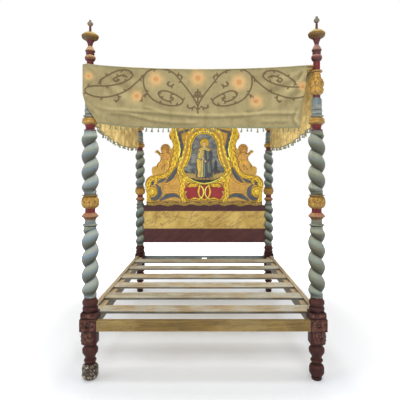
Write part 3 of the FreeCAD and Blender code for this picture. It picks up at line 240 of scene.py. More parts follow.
def build_worn_paint(graph, given):
    """Brushed paint in two tones, chipped to its ground at edges, grimy and darkened by painted shade in
    hollows, painted shade underneath and a painted highlight on top."""
    clouds = graph.noise(given["Where"], 9.0, 3.0)
    patches = graph.noise(given["Where"], 52.0, 6.0, 0.65)
    bristles = graph.noise(given["Where"], 420.0, 2.0)
    shade = graph.mix(graph.ease(clouds, 0.36, 0.64), given["Paint"], given["Second"])
    shade = graph.dim(shade, graph.ease(patches, 0.22, 0.78, 0.66, 1.30))
    shade = graph.dim(shade, graph.ease(bristles, 0.2, 0.8, 0.90, 1.10))
    edge = graph.ease(graph.openness(5 * MM, inside=True), 0.9, 0.55)
    rub = graph.plus(patches, graph.times(edge, 0.30))
    level = graph.less(0.82, graph.times(given["Wear"], 0.30))
    bare = graph.ease(graph.less(rub, level), 0.0, 0.06)
    shade = graph.mix(bare, shade, given["GroundAndTopLight"])
    # Grime and painted shade: darker in grooves as wide as the reach and where a carving marks its hollows.
    hollow_shade = graph.ease(graph.openness(given["Reach"]), 0.95, 0.40)
    hollow_shade = graph.most(hollow_shade, graph.mark("hollow"))
    # Painted highlight and painted shade by facing: upward faces lighter towards the ground colour, downward
    # ones darker.
    upward = graph.facing()["Z"]
    painted_top_light = graph.times(graph.ease(upward, 0.0, 0.6, 0.0, 0.6), given["FacingShade"])
    shade = graph.mix(painted_top_light, shade, given["GroundAndTopLight"])
    facing_shade = graph.times(graph.ease(upward, 0.20, -0.60), given["FacingShade"])
    grime_and_shade_share = graph.most(graph.times(hollow_shade, given["HollowGrimeAndShade"]), facing_shade)
    grime_and_shade_share = graph.times(grime_and_shade_share, graph.ease(patches, 0.15, 0.6, 0.65, 1.0))
    relief = graph.less(graph.times(bristles, 0.25), graph.times(bare, 0.6))
    return {
        "Color": graph.mix(grime_and_shade_share, shade, given["GrimeAndShadeColour"]),
        "Roughness": graph.ease(patches, 0.2, 0.8, 0.40, 0.66),
        "Height": graph.plus(relief, graph.times(patches, 0.5)),
    }


def build_gilding(graph, given):
    """Leaf gold rubbed through to its red clay ground; grimy, with painted shade in hollows and underneath.
    """
    where = graph.place()
    clouds = graph.noise(where, 14.0, 3.0)
    patches = graph.noise(where, 80.0, 6.0, 0.65)
    grain = graph.noise(where, 500.0, 2.0)
    shade = graph.dim(given["Leaf"], graph.ease(clouds, 0.25, 0.75, 0.70, 1.16))
    shade = graph.dim(shade, graph.ease(patches, 0.2, 0.8, 0.70, 1.24))
    edge = graph.ease(graph.openness(4 * MM, inside=True), 0.9, 0.5)
    rub = graph.plus(patches, graph.times(edge, 0.12))
    level = graph.less(0.80, graph.times(given["Wear"], 0.30))
    bare = graph.ease(graph.less(rub, level), 0.0, 0.07)
    shade = graph.mix(bare, shade, given["Clay"])
    # Grime and painted shade in the hollows, painted shade on the undersides.
    hollow_shade = graph.most(graph.ease(graph.openness(14 * MM), 0.92, 0.35), graph.mark("hollow"))
    facing_shade = graph.ease(graph.facing()["Z"], 0.10, -0.80, 0.0, 0.6)
    grime_and_shade_share = graph.most(graph.times(hollow_shade, given["HollowGrimeAndShade"]), facing_shade)
    clean = graph.times(graph.less(1.0, bare), graph.less(1.0, grime_and_shade_share))
    return {
        "Color": graph.mix(grime_and_shade_share, shade, given["GrimeAndShadeColour"]),
        "Metallic": graph.times(clean, 0.35),
        "Roughness": graph.ease(patches, 0.2, 0.8, 0.34, 0.52),
        "Height": graph.plus(graph.times(grain, 0.2), graph.times(patches, 0.5)),
    }


WORN_PAINT = shader_group("worn_paint", {
    "Where": (0.0, 0.0, 0.0), "Paint": tone(128, 128, 128), "Second": tone(128, 128, 128),
    "GroundAndTopLight": tone(200, 190, 170), "GrimeAndShadeColour": tone(60, 52, 40), "Wear": 0.3, "HollowGrimeAndShade": 0.6, "FacingShade": 0.0,
    "Reach": 24 * MM,
}, build_worn_paint)
GILDING = shader_group("gilding", {
    "Leaf": tone(222, 176, 62), "Clay": tone(122, 52, 36), "GrimeAndShadeColour": tone(52, 36, 16), "Wear": 0.3,
    "HollowGrimeAndShade": 0.8,
}, build_gilding)


def material(name, build, bump_depth):
    """A material whose channels come from a function of its graph."""
    made = bpy.data.materials.new(name)
    made.use_nodes = True
    graph = Graph(made.node_tree)
    shader = made.node_tree.nodes["Principled BSDF"]
    channels = build(graph)
    height = channels.pop("Height")
    for label, value in channels.items():
        graph.join(value, shader.inputs[label])
    bump = graph.add("Bump", {"Height": height, "Strength": 0.8, "Distance": bump_depth})
    graph.join(bump.outputs["Normal"], shader.inputs["Normal"])
    return made


def painted(
        name, paint, second, ground, wear=0.3, hollow_grime_and_shade=0.6, facing_shade=0.0, grime_and_shade_colour=(46, 38, 28), reach=24 * MM,
        lay=Graph.place, gloss=0.5):
    """Worn paint over wood. Reach is the width of a groove that turns grimy and takes painted shade; the
    facing shade paints undersides darker and tops lighter as painted light; lay gives the coordinates that
    the brush marks run with."""
    inputs = {
        "Paint": tone(*paint), "Second": tone(*second), "GroundAndTopLight": tone(*ground), "GrimeAndShadeColour": tone(*grime_and_shade_colour),
        "Wear": wear, "HollowGrimeAndShade": hollow_grime_and_shade, "FacingShade": facing_shade, "Reach": reach,
    }

    def build(graph):
        out = graph.group(WORN_PAINT, {**inputs, "Where": lay(graph)})
        return {
            "Base Color": out["Color"], "Roughness": out["Roughness"], "Specular IOR Level": gloss,
            "Height": out["Height"],
        }

    return material(name, build, 1.2 * MM)


def gilded(name, leaf, clay=(122, 52, 36), grime_and_shade_colour=(52, 36, 16), wear=0.3, hollow_grime_and_shade=0.8):
    """Rubbed gilding."""
    inputs = {"Leaf": tone(*leaf), "Clay": tone(*clay), "GrimeAndShadeColour": tone(*grime_and_shade_colour), "Wear": wear, "HollowGrimeAndShade": hollow_grime_and_shade}

    def build(graph):
        out = graph.group(GILDING, inputs)
        return {
            "Base Color": out["Color"], "Metallic": out["Metallic"],
            "Roughness": out["Roughness"], "Height": out["Height"],
        }

    return material(name, build, 0.8 * MM)


def dress(node, finish, bevel=0.0):
    """Give a solid of the frame its finish, and soften its sharp edges as wear does."""
    solid = nodes[node]
    solid.data.materials.clear()
    solid.data.materials.append(finish)
    if bevel:
        softened = solid.modifiers.new("worn_edges", "BEVEL")
        softened.width = bevel
        softened.segments = 2
        softened.limit_method = "ANGLE"
        softened.angle_limit = math.radians(50)
        softened.harden_normals = False


MARK_KINDS = {1: ("FLOAT", "value"), 3: ("FLOAT_VECTOR", "vector"), 4: ("FLOAT_COLOR", "color")}


def new_piece(name, points, faces, finishes, marks=None, outward=True):
    """A mesh piece from points and four-cornered faces, with its finishes and the values its points
    carry. Points that no face uses are left out; a closed piece turns its faces outward."""
    used, corners = np.unique(faces, return_inverse=True)
    count = corners.size // 4
    mesh = bpy.data.meshes.new(name)
    mesh.vertices.add(len(used))
    mesh.vertices.foreach_set("co", np.asarray(points, np.float32).reshape(-1, 3)[used].ravel())
    mesh.loops.add(corners.size)
    mesh.loops.foreach_set("vertex_index", corners.astype(np.int32).ravel())
    mesh.polygons.add(count)
    mesh.polygons.foreach_set("loop_start", np.arange(0, corners.size, 4, dtype=np.int32))
    mesh.polygons.foreach_set("use_smooth", np.full(count, True))
    mesh.update(calc_edges=True)
    for label, values in (marks or {}).items():
        values = np.asarray(values, np.float32).reshape(np.size(points) // 3, -1)[used]
        kind, field = MARK_KINDS[values.shape[1]]
        mesh.attributes.new(label, kind, "POINT").data.foreach_set(field, values.ravel())
    for finish in finishes:
        mesh.materials.append(finish)
    if outward:
        solid = bmesh.new()
        solid.from_mesh(mesh)
        bmesh.ops.recalc_face_normals(solid, faces=solid.faces)
        solid.to_mesh(mesh)
        solid.free()
    piece = bpy.data.objects.new(name, mesh)
    scene.collection.objects.link(piece)
    return piece


def grid_faces(rows, columns, closed=False):
    """Quads over a grid of points; closed joins the last column to the first."""
    row = np.arange(rows - 1)[:, None]
    column = np.arange(columns if closed else columns - 1)[None, :]
    after = (column + 1) % columns
    corners = (row * columns + column, row * columns + after,
               (row + 1) * columns + after, (row + 1) * columns + column)
    return np.stack(np.broadcast_arrays(*corners), axis=-1).reshape(-1, 4)


def coordinates(node):
    mesh = nodes[node].data
    flat = np.empty(len(mesh.vertices) * 3, np.float32)
    mesh.vertices.foreach_get("co", flat)
    return flat.reshape(-1, 3).astype(float)


def turned_profile(node, axis, bore=0.0, top=math.inf):
    """Radius and height along the outer line of a turned solid, from its foot to its head, leaving out
    what is narrower than a bore or higher than a top."""
    points = coordinates(node)
    radius = np.hypot(points[:, 0] - axis[0], points[:, 1] - axis[1])
    tenth = 0.1 * MM
    rings, counts = np.unique(
        np.round(np.column_stack((points[:, 2], radius)) / tenth).astype(int), axis=0, return_counts=True)
    rings = rings[counts >= RING_POINTS] * tenth
    rings = rings[(rings[:, 1] >= bore) & (rings[:, 0] <= top)]
    line = []
    for height in np.unique(rings[:, 0]):
        radii = np.sort(rings[rings[:, 0] == height, 1])
        if line and abs(radii[-1] - line[-1][0]) < abs(radii[0] - line[-1][0]):
            radii = radii[::-1]
        line += [(r, height) for r in radii]
    return np.array(line)


def evenly(line, step):
    """Points along a line, never further apart than a step, with its own points kept."""
    spaced = [line[0]]
    for start, end in zip(line[:-1], line[1:]):
        count = max(1, math.ceil(np.linalg.norm(end - start) / step))
        spaced += [start + (end - start) * i / count for i in range(1, count + 1)]
    return np.array(spaced)


def whole_turn(steps):
    """The angles of the steps of one turn."""
    return 2 * np.pi * np.arange(steps) / steps


def turned_points(axis, line, radius):
    """Points round an axis: one row for each height of a line, one column for each part of a turn."""
    around = whole_turn(TURN_STEPS)[None, :]
    height = np.repeat(line[:, 1:], TURN_STEPS, axis=1)
    return np.stack((axis[0] + radius * np.cos(around), axis[1] + radius * np.sin(around), height), axis=-1)


def middle_of(node):
    low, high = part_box(node)
    return ((low.x + high.x) / 2, (low.y + high.y) / 2)


TURN_STEPS = 96
LATHE_STEP = 2.2 * MM
TIP = 0.1 * MM
RING_POINTS = 24
POSTS = {"front_left": (-1, -1), "front_right": (1, -1), "back_left": (-1, 1), "back_right": (1, 1)}
PANEL_RINGS = 26
PANEL_SINK = 1.5 * MM
BOLT_ROOM = 14 * MM
PIN_HOLE = 0.2 * MM
PANEL_HOLLOW = 2.6 * MM


def rosette(u, v, half_u, half_v):
    """A raised border round an eight-leaved rose, in millimetres."""
    edge = np.minimum(half_u - np.abs(u), half_v - np.abs(v)) / MM
    out = np.hypot(u / half_u, v / half_v)
    turn = np.arctan2(v / half_v, u / half_u)
    border = 4.2 * np.exp(-((edge - 6) / 3.0) ** 2)
    leaves = 5.0 * np.abs(np.cos(4 * turn)) ** 0.7 * np.exp(-((out - 0.48) / 0.20) ** 2)
    buds = 3.4 * np.abs(np.sin(2 * turn)) ** 6 * np.exp(-((out - 0.86) / 0.16) ** 2)
    return np.maximum(border, np.maximum(leaves, buds)) + 0.4


def palmette(u, v, half_u, half_v):
    """Leaves that fan out from the foot of a panel, in millimetres."""
    out = np.hypot(u, v + half_v) / (2 * half_v)
    turn = np.arctan2(u, v + 1.15 * half_v)
    leaves = np.abs(np.cos(5.5 * turn)) ** 0.6 * np.exp(-((out - 0.58) / 0.34) ** 2)
    return 4.6 * leaves + 0.4


def beading(u, v, half_u, half_v):
    """A row of round beads, in millimetres."""
    beads = np.abs(np.cos(np.pi * u / (16 * MM))) ** 0.6
    return 3.6 * beads * np.sqrt(np.clip(1 - (v / half_v) ** 2, 0, 1)) + 0.4


# Carved panels: pattern, middle height, half width, half height, distance of the face from the post's axis
PANELS = {
    "rose_panel": (rosette, 350 * MM, 45 * MM, 32 * MM, 53 * MM),
    "leaf_panel": (palmette, 274 * MM, 29 * MM, 31 * MM, 47 * MM),
    "bead_panel": (beading, 406 * MM, 41 * MM, 10 * MM, 48 * MM),
}


def carved_panel(name, pattern, face, out, half_u, half_v, bore, finish):
    """A closed carved panel on a block's face, let in a little, with a hole for the bolt's head."""
    turn = whole_turn(TURN_STEPS)[None, :]
    share = np.linspace(0, 1, PANEL_RINGS)[:, None]
    reach = 1 / np.maximum(np.abs(np.cos(turn)) / half_u, np.abs(np.sin(turn)) / half_v)
    radius = bore + (reach - bore) * share
    u, v = radius * np.cos(turn), radius * np.sin(turn)
    height = pattern(u, v, half_u, half_v) * MM
    height[-1] = -PANEL_SINK
    out = np.array(out, float)
    side = np.cross((0, 0, 1.0), out)
    flat = np.array(face) + u[..., None] * side + v[..., None] * np.array((0, 0, 1.0))
    back = flat[::-1] - 2 * PANEL_SINK * out
    points = np.concatenate((flat + height[..., None] * out, back))
    # The hollow mark is painted shade: the finish darkens the lower parts of the carving.
    hollow = np.clip(1 - height / PANEL_HOLLOW, 0, 1) * 0.8
    faces = grid_faces(len(points) + 1, TURN_STEPS, closed=True) % (len(points) * TURN_STEPS)
    piece = new_piece(name, points, faces, [finish], {"hollow": np.concatenate((hollow, hollow[::-1]))})
    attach(piece, "frame")


maroon = painted(
    "maroon_paint", (58, 28, 26), (70, 36, 31), (114, 74, 60), wear=0.22, hollow_grime_and_shade=0.95, facing_shade=0.25,
    grime_and_shade_colour=(22, 12, 12), gloss=0.2)
for post, (side_x, side_y) in POSTS.items():
    dress(f"leg_{post}", maroon)
    axis_x, axis_y = middle_of(f"leg_{post}")
    for label, (pattern, level, half_u, half_v, reach) in PANELS.items():
        end_face = (axis_x, axis_y + side_y * reach, level)
        side_face = (axis_x + side_x * reach, axis_y, level)
        bolt = BOLT_ROOM if pattern is rosette else PIN_HOLE
        size = half_u, half_v
        carved_panel(f"{label}_end_{post}", pattern, end_face, (0, side_y, 0), *size, bolt, maroon)
        carved_panel(f"{label}_side_{post}", pattern, side_face, (side_x, 0, 0), *size, PIN_HOLE, maroon)

BALL_TOP = 101 * MM
BALL_BORE = 12 * MM
BALL_STEP = 2.0 * MM
BALL_ROWS, BALL_LEAVES = 5, 9
BALL_SKIN, LEAF_RISE = 0.4 * MM, 4.2 * MM
FLOOR_GAP = 0.2 * MM
specked_gold = gilded(
    "specked_gilding", (246, 226, 190), clay=(62, 42, 29), grime_and_shade_colour=(40, 27, 19), wear=0.75, hollow_grime_and_shade=1.0)
ball_axis = middle_of("leg_front_left")
ball_side = turned_profile("leg_front_left", ball_axis, BALL_BORE, BALL_TOP)
ball_line = evenly(np.vstack(((TIP, ball_side[0, 1]), ball_side, (TIP, ball_side[-1, 1]))), BALL_STEP)
rise = ball_line[:, 1:] / BALL_TOP
row = np.floor(rise * BALL_ROWS)
leaf = np.arange(TURN_STEPS)[None, :] / TURN_STEPS * BALL_LEAVES + 0.5 * (row % 2)
across = leaf % 1.0 - 0.5
tip = rise * BALL_ROWS - row
rubbed = np.random.default_rng(8).uniform(0.15, 1.0, (BALL_ROWS + 1, BALL_LEAVES))
rubbed = rubbed[row.astype(int), np.floor(leaf).astype(int) % BALL_LEAVES]
curl = np.abs(np.cos(7 * across + 3 * tip))
scales = np.sqrt(np.clip(1 - (across / 0.5) ** 2 - (tip - 0.5) ** 2 / 0.27, 0, 1)) * rubbed * curl
ends = np.clip(np.minimum(rise, 1 - rise) * 10, 0, 1)
ball_points = turned_points(ball_axis, ball_line, ball_line[:, :1] + BALL_SKIN + LEAF_RISE * scales * ends)
ball_points[..., 2] = np.maximum(ball_points[..., 2], FLOOR_GAP)
# The hollow mark is painted shade between the carved scales.
ball = new_piece(
    "carved_ball", ball_points, grid_faces(len(ball_line), TURN_STEPS, closed=True), [specked_gold],
    {"hollow": np.clip(1.08 - 2.2 * scales, 0, 1)})
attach(ball, "frame")

# Shafts. Barley-twist columns, turned left-handed on one side of the bed and right-handed on the other,
# painted grey-blue and green, with grime and painted shade in the grooves, painted shade on the undersides of
# the twist and a painted highlight on its tops.
TWIST_PITCH = 103 * MM
GROOVE_REACH = 70 * MM
BRUSH_RADIUS = 0.09
BRUSH_DRAW = 0.35


def along_twist(axis, hand):
    """Coordinates that wind with the twist of a post, so that brush marks follow its grooves."""

    def lay(graph):
        out = graph.add("VectorMath", {0: graph.place(), 1: (*axis, 0.0)}, operation="SUBTRACT").outputs[0]
        parts = graph.parts(out)
        turn = graph.math("ARCTAN2", parts["Y"], parts["X"])
        twist = graph.times(parts["Z"], hand * 2 * math.pi / TWIST_PITCH)
        wind = graph.less(turn, twist)
        along = graph.plus(graph.times(parts["Z"], BRUSH_DRAW), axis[0] + 2 * axis[1])
        rings = [graph.times(graph.math(way, wind), BRUSH_RADIUS) for way in ("COSINE", "SINE")]
        return graph.add("CombineXYZ", {"X": rings[0], "Y": rings[1], "Z": along}).outputs[0]

    return lay


# Paint of each post: first tone, second tone, chipped ground and painted highlight, grime and painted shade
SHAFT_PAINTS = {
    "front_left": ((104, 122, 138), (114, 120, 100), (186, 194, 182), (44, 42, 26)),
    "front_right": ((98, 112, 108), (108, 106, 80), (168, 172, 150), (42, 40, 24)),
    "back_left": ((100, 118, 120), (102, 106, 84), (168, 176, 160), (44, 44, 28)),
    "back_right": ((98, 114, 116), (100, 104, 84), (166, 174, 158), (44, 44, 28)),
}
shaft_paints = {}
for post, (paint, second, ground, grime_and_shade_colour) in SHAFT_PAINTS.items():
    lay = along_twist(middle_of(f"urn_{post}"), -POSTS[post][0])
    shaft_paints[post] = painted(
        f"blue_green_paint_{post}", paint, second, ground, wear=0.34, hollow_grime_and_shade=1.0, facing_shade=0.95, grime_and_shade_colour=grime_and_shade_colour,
        reach=GROOVE_REACH, lay=lay)
    dress(f"lower_shaft_{post}", shaft_paints[post])
    dress(f"upper_shaft_{post}", shaft_paints[post])


# Urns, capitals and finials. Turned knops between the shafts: red necks, gilt bulbs carved with
# upright leaves and blue drums. The finials stand loose on dowels in the capitals.
def leafage(turn, rise, count):
    """Upright leaves round a bulb: a raised blade with a midrib and side veins, 0 to 1 high."""
    across = (turn * count) % 1.0 - 0.5
    half = 0.50 * np.sin(np.pi * np.clip(0.10 + 0.84 * rise, 0, 1)) ** 0.55
    blade = np.sqrt(np.clip(1 - (across / np.maximum(half, 0.02)) ** 2, 0, 1))
    midrib = np.exp(-((across / 0.06) ** 2))
    veins = 0.5 + 0.5 * np.cos(2 * np.pi * (rise * 4 - np.abs(across) * 3))
    return np.clip(blade * (0.62 + 0.38 * veins) - 0.35 * midrib * blade, 0, 1)


def gadroons(turn, rise, count):
    """Round lobes side by side."""
    return np.abs(np.sin(np.pi * turn * count)) ** 0.7


def turned_piece(node, body, bands, carvings, bore=0.0, spigot=0.0, socket=()):
    """A turned piece in the solid's own outline. A band is a share of the height and a finish that
    reaches up to it; a carving is two height shares, a pattern, a count and a depth."""
    axis = middle_of(node)
    outer = turned_profile(node, axis, bore)
    foot, top = outer[0, 1] + spigot, outer[-1, 1]
    head = [(r, top - depth) for r, depth in socket] or [(TIP, top)]
    line = evenly(np.vstack(((TIP, outer[0, 1]), outer, head)), LATHE_STEP)
    turn = np.arange(TURN_STEPS)[None, :] / TURN_STEPS
    share = (line[:, 1] - foot) / (top - foot)
    radius = np.repeat(line[:, :1], TURN_STEPS, axis=1)
    # The hollow mark is painted shade in the low parts of each carving.
    hollow = np.zeros(radius.shape)
    for start, end, pattern, count, depth in carvings:
        rise = np.clip((share - start) / (end - start), 0, 1)[:, None]
        fade = np.clip(np.minimum(rise, 1 - rise) * 12, 0, 1)
        inside = ((share > start) & (share < end))[:, None]
        carved = pattern(turn, rise, count)
        radius = radius + np.where(inside, (carved - 0.6) * depth * fade, 0)
        hollow = np.maximum(hollow, np.where(inside, np.clip(0.8 - 1.2 * carved, 0, 1) * fade, 0))
    points = turned_points(axis, line, radius)
    faces = grid_faces(len(line), TURN_STEPS, closed=True)
    finishes = [finish for reach, finish in bands]
    piece = new_piece(f"{node}_turning", points, faces, finishes, {"hollow": hollow})
    tops = np.array([reach for reach, finish in bands])
    index = np.searchsorted(tops, np.clip((share[:-1] + share[1:]) / 2, 0, 0.9999), side="right")
    piece.data.polygons.foreach_set("material_index", np.repeat(index, TURN_STEPS).astype(np.int32))
    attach(piece, body)
    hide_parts(node)


gold = gilded("carved_gilding", (190, 146, 64), clay=(120, 74, 34), wear=0.38, hollow_grime_and_shade=0.8)
flare_gold = gilded("flare_gilding", (164, 122, 66), clay=(128, 62, 44), wear=0.45, hollow_grime_and_shade=0.85)
# Facing shade below gives undersides painted shade and tops a painted highlight, as on the finial knops.
flare_paint = painted(
    "flare_paint", (146, 92, 56), (132, 98, 56), (196, 140, 104), wear=0.3, hollow_grime_and_shade=0.8, facing_shade=0.85,
    grime_and_shade_colour=(70, 50, 26))
flange_gold = gilded("flange_gilding", (142, 114, 66), clay=(104, 60, 42), wear=0.4, hollow_grime_and_shade=0.9)
red = painted(
    "red_paint", (106, 29, 29), (92, 25, 26), (150, 92, 72), wear=0.24, hollow_grime_and_shade=0.95, grime_and_shade_colour=(36, 14, 12),
    reach=40 * MM, gloss=0.3)
plum = painted(
    "plum_paint", (98, 48, 62), (86, 42, 50), (140, 108, 102), wear=0.26, hollow_grime_and_shade=0.8, grime_and_shade_colour=(36, 18, 20),
    gloss=0.3)
drum_blue = painted(
    "drum_blue_paint", (92, 110, 118), (104, 114, 114), (140, 140, 126), wear=0.26, hollow_grime_and_shade=0.6, facing_shade=0.3,
    grime_and_shade_colour=(62, 60, 50))
drum_pale = painted(
    "drum_pale_paint", (126, 132, 124), (112, 118, 110), (160, 152, 132), wear=0.3, hollow_grime_and_shade=0.6, facing_shade=0.3,
    grime_and_shade_colour=(66, 62, 50))
drum_line = painted(
    "drum_line_paint", (54, 56, 56), (64, 60, 54), (104, 98, 86), wear=0.25, hollow_grime_and_shade=0.6, grime_and_shade_colour=(40, 36, 30))
finial_red = painted(
    "finial_red_paint", (98, 36, 40), (92, 44, 42), (150, 108, 96), wear=0.42, hollow_grime_and_shade=0.95, facing_shade=0.5,
    grime_and_shade_colour=(38, 18, 18), reach=36 * MM, gloss=0.3)
finial_knop = painted(
    "finial_knop_paint", (106, 48, 48), (122, 76, 64), (190, 156, 140), wear=0.55, hollow_grime_and_shade=0.95, facing_shade=0.85,
    grime_and_shade_colour=(42, 22, 20), reach=30 * MM, gloss=0.3)
finial_cream = painted(
    "finial_cream_paint", (140, 96, 60), (152, 112, 70), (222, 190, 140), wear=0.5, hollow_grime_and_shade=0.95, facing_shade=1.0,
    grime_and_shade_colour=(78, 34, 34), reach=30 * MM, gloss=0.3)
finial_olive = painted(
    "finial_olive_paint", (146, 114, 50), (128, 98, 50), (196, 168, 96), wear=0.35, hollow_grime_and_shade=0.85, facing_shade=0.85,
    grime_and_shade_colour=(66, 44, 22), gloss=0.3)
finial_grey = painted(
    "finial_grey_paint", (118, 100, 82), (104, 92, 78), (150, 134, 112), wear=0.35, hollow_grime_and_shade=0.8,
    grime_and_shade_colour=(60, 46, 34))
URN_CARVINGS = (
    (0.575, 0.800, leafage, 9, 0.0080), (0.800, 0.940, leafage, 11, 0.0050),
    (0.225, 0.425, gadroons, 16, 0.0022),
)
CAPITAL_CARVINGS = (
    (0.522, 0.720, leafage, 6, 0.0075), (0.720, 0.830, leafage, 8, 0.0040),
    (0.098, 0.186, gadroons, 18, 0.0024),
)
CAPITAL_BANDS = (
    (0.024, plum), (0.092, red), (0.196, gold), (0.236, drum_pale), (0.248, drum_line), (0.300, drum_pale),
    (0.312, drum_line), (0.376, drum_pale), (0.478, drum_blue), (0.518, plum), (0.840, gold),
    (0.878, flare_gold), (1.0, red),
)
POST_BORE = 20 * MM
DOWEL_LENGTH = 20 * MM
DOWEL_SOCKET = ((8.4 * MM, 0), (8.4 * MM, 22 * MM), (TIP, 22 * MM))
for post in POSTS:
    knop = finial_cream if post == "front_left" else finial_knop
    urn_bands = (
        (0.205, shaft_paints[post]), (0.432, flare_paint), (0.565, red), (0.945, gold), (0.988, flange_gold),
        (1.0, shaft_paints[post]),
    )
    finial_bands = (
        (0.156, knop), (0.208, finial_red), (0.366, knop), (0.505, finial_red), (0.710, finial_olive),
        (0.856, finial_red), (1.0, finial_grey),
    )
    turned_piece(f"urn_{post}", "frame", urn_bands, URN_CARVINGS, POST_BORE)
    turned_piece(
        f"capital_{post}", "frame", CAPITAL_BANDS, CAPITAL_CARVINGS, POST_BORE,
        socket=DOWEL_SOCKET)
    turned_piece(f"finial_{post}", f"finial_{post}", finial_bands, (), spigot=DOWEL_LENGTH)


# Rails. The foot rail is tenoned and pegged into the blocks and stained ochre; the head rail is painted
# grey-blue; the side rails are bare wood, rebated for the slats and bolted through the blocks.
def build_wood_grain(graph, given):
    """Sawn board: fibres drawn out along the grain, dark stains, fine cracks and rubbed edges, with painted
    shade in its recesses.
    """
    where = graph.place()
    drawn = graph.stretch(where, given["Grain"])
    fibres = graph.noise(drawn, 9.0, 8.0, 0.7)
    bands = graph.noise(drawn, 1.6, 3.0, 0.5)
    stains = graph.noise(where, 5.5, 4.0)
    cracks = graph.noise(drawn, 4.0, 2.0, 0.4)
    shade = graph.mix(graph.ease(fibres, 0.3, 0.7), given["Dark"], given["Light"])
    shade = graph.dim(shade, graph.ease(bands, 0.3, 0.7, 0.78, 1.12))
    aged = graph.times(graph.ease(stains, 0.40, 0.66), given["Age"])
    shade = graph.mix(aged, shade, given["Silver"])
    split = graph.ease(graph.math("ABSOLUTE", graph.less(cracks, 0.5)), 0.016, 0.0)
    split = graph.times(split, graph.ease(stains, 0.5, 0.62))
    shade = graph.dim(shade, graph.ease(split, 0.0, 1.0, 1.0, 0.35))
    edge = graph.times(graph.ease(graph.openness(4 * MM, inside=True), 0.85, 0.5), given["Rub"])
    shade = graph.mix(edge, shade, given["Silver"])
    # Painted shade: darker where other surfaces close in.
    recess_shade = graph.ease(graph.openness(18 * MM), 0.95, 0.3, 1.0, 0.5)
    return {
        "Color": graph.dim(shade, recess_shade), "Roughness": graph.ease(fibres, 0.2, 0.8, 0.62, 0.86),
        "Height": graph.less(fibres, split),
    }


ALONG_X = (1.0, 16.0, 16.0)
ALONG_Y = (16.0, 1.0, 16.0)
ALONG_Z = (14.0, 14.0, 1.0)
WOOD_GRAIN = shader_group("wood_grain", {
    "Grain": ALONG_X, "Light": tone(205, 185, 150), "Dark": tone(130, 104, 70),
    "Silver": tone(170, 165, 150), "Age": 0.5, "Rub": 0.3,
}, build_wood_grain)


def sawn(name, light, dark, silver, age, grain, rub=0.3, end_shade=1.0):
    """Bare or stained wood; faces that look along the bed take the end shade, a painted shade."""
    inputs = {
        "Grain": grain, "Light": tone(*light), "Dark": tone(*dark), "Silver": tone(*silver),
        "Age": age, "Rub": rub,
    }

    def build(graph):
        out = graph.group(WOOD_GRAIN, inputs)
        # Painted shade on the faces that look along the bed.
        endways_shade = graph.ease(graph.math("ABSOLUTE", graph.facing()["Y"]), 0.5, 0.9, 1.0, end_shade)
        return {
            "Base Color": graph.dim(out["Color"], endways_shade), "Roughness": out["Roughness"],
            "Height": out["Height"],
        }

    return material(name, build, 1.0 * MM)


def brushed_across(graph):
    return graph.stretch(graph.place(), (0.35, 2.0, 2.0))


foot_rail_wood = sawn("foot_rail_wood", (144, 114, 52), (88, 68, 30), (166, 144, 92), 0.40, ALONG_X, 0.8)
head_rail_paint = painted(
    "head_rail_paint", (112, 122, 122), (96, 106, 104), (156, 150, 130), wear=0.30, hollow_grime_and_shade=0.7,
    lay=brushed_across)


def build_side_rail(graph):
    """Bare wood; its faces that look in across the bed are greyed by painted shade."""
    out = graph.group(WOOD_GRAIN, {
        "Grain": ALONG_Y, "Light": tone(202, 180, 140), "Dark": tone(140, 116, 82),
        "Silver": tone(204, 194, 168), "Age": 0.45, "Rub": 0.3,
    })
    # Painted shade: faces turned in towards the bed's middle are mixed towards grey.
    inward_shade = graph.times(graph.facing()["X"], graph.parts(graph.place())["X"])
    shade = graph.mix(graph.ease(inward_shade, -0.2, -0.5, 0.0, 0.75), out["Color"], tone(84, 82, 80))
    return {"Base Color": shade, "Roughness": out["Roughness"], "Height": out["Height"]}


side_rail_wood = material("side_rail_wood", build_side_rail, 1.0 * MM)
SAWN_EDGE = 1.5 * MM
dress("foot_rail", foot_rail_wood, SAWN_EDGE)
dress("head_rail", head_rail_paint, SAWN_EDGE)
dress("side_rail_left", side_rail_wood, SAWN_EDGE)
dress("side_rail_right", side_rail_wood, SAWN_EDGE)
dress("rail_pegs", maroon)


# Ironwork. Forged bolts through the blocks into the side rails, their nuts, and the screws that hold the
# battens behind the headboard.
def build_iron(graph):
    """Hand-forged iron: dull black skin with brown rust in patches."""
    where = graph.place()
    rust = graph.ease(graph.noise(where, 60.0, 6.0, 0.65), 0.45, 0.62)
    return {
        "Base Color": graph.mix(rust, tone(58, 54, 50), tone(98, 62, 40)),
        "Roughness": graph.ease(rust, 0.0, 1.0, 0.45, 0.8),
        "Metallic": graph.ease(rust, 0.0, 1.0, 0.85, 0.1),
        "Height": graph.noise(where, 400.0, 3.0),
    }


iron = material("forged_iron", build_iron, 0.5 * MM)
for node in ("bed_bolts", "bolt_nuts", "batten_screws"):
    dress(node, iron)

# Slats. Six loose planks of weathered pine laid across the rebates of the side rails, silvered
# in patches and darkened by painted shade along their sawn edges.
SLAT_TONES = (
    ((218, 203, 170), (146, 124, 92)), ((210, 192, 154), (136, 112, 80)),
    ((206, 194, 164), (130, 114, 88)),
)
slat_woods = [
    sawn(f"slat_wood_{number}", light, dark, (200, 200, 186), 0.75, ALONG_X, 0.2, end_shade=0.32)
    for number, (light, dark) in enumerate(SLAT_TONES, start=1)
]
for number in range(1, 7):
    dress(f"slat_{number}", slat_woods[number % len(slat_woods)], SAWN_EDGE)


# Headboard. Three boards between the back shafts: two maroon ones and, between them, one marbled in
# yellow and brown; battens screwed on behind hold them and the crest together.
def leaning(graph, angle):
    """Coordinates turned about the bed's length, for marks that lean."""
    turned = {"Vector": graph.place(), "Angle": angle}
    return graph.add("VectorRotate", turned, rotation_type="Y_AXIS").outputs[0]


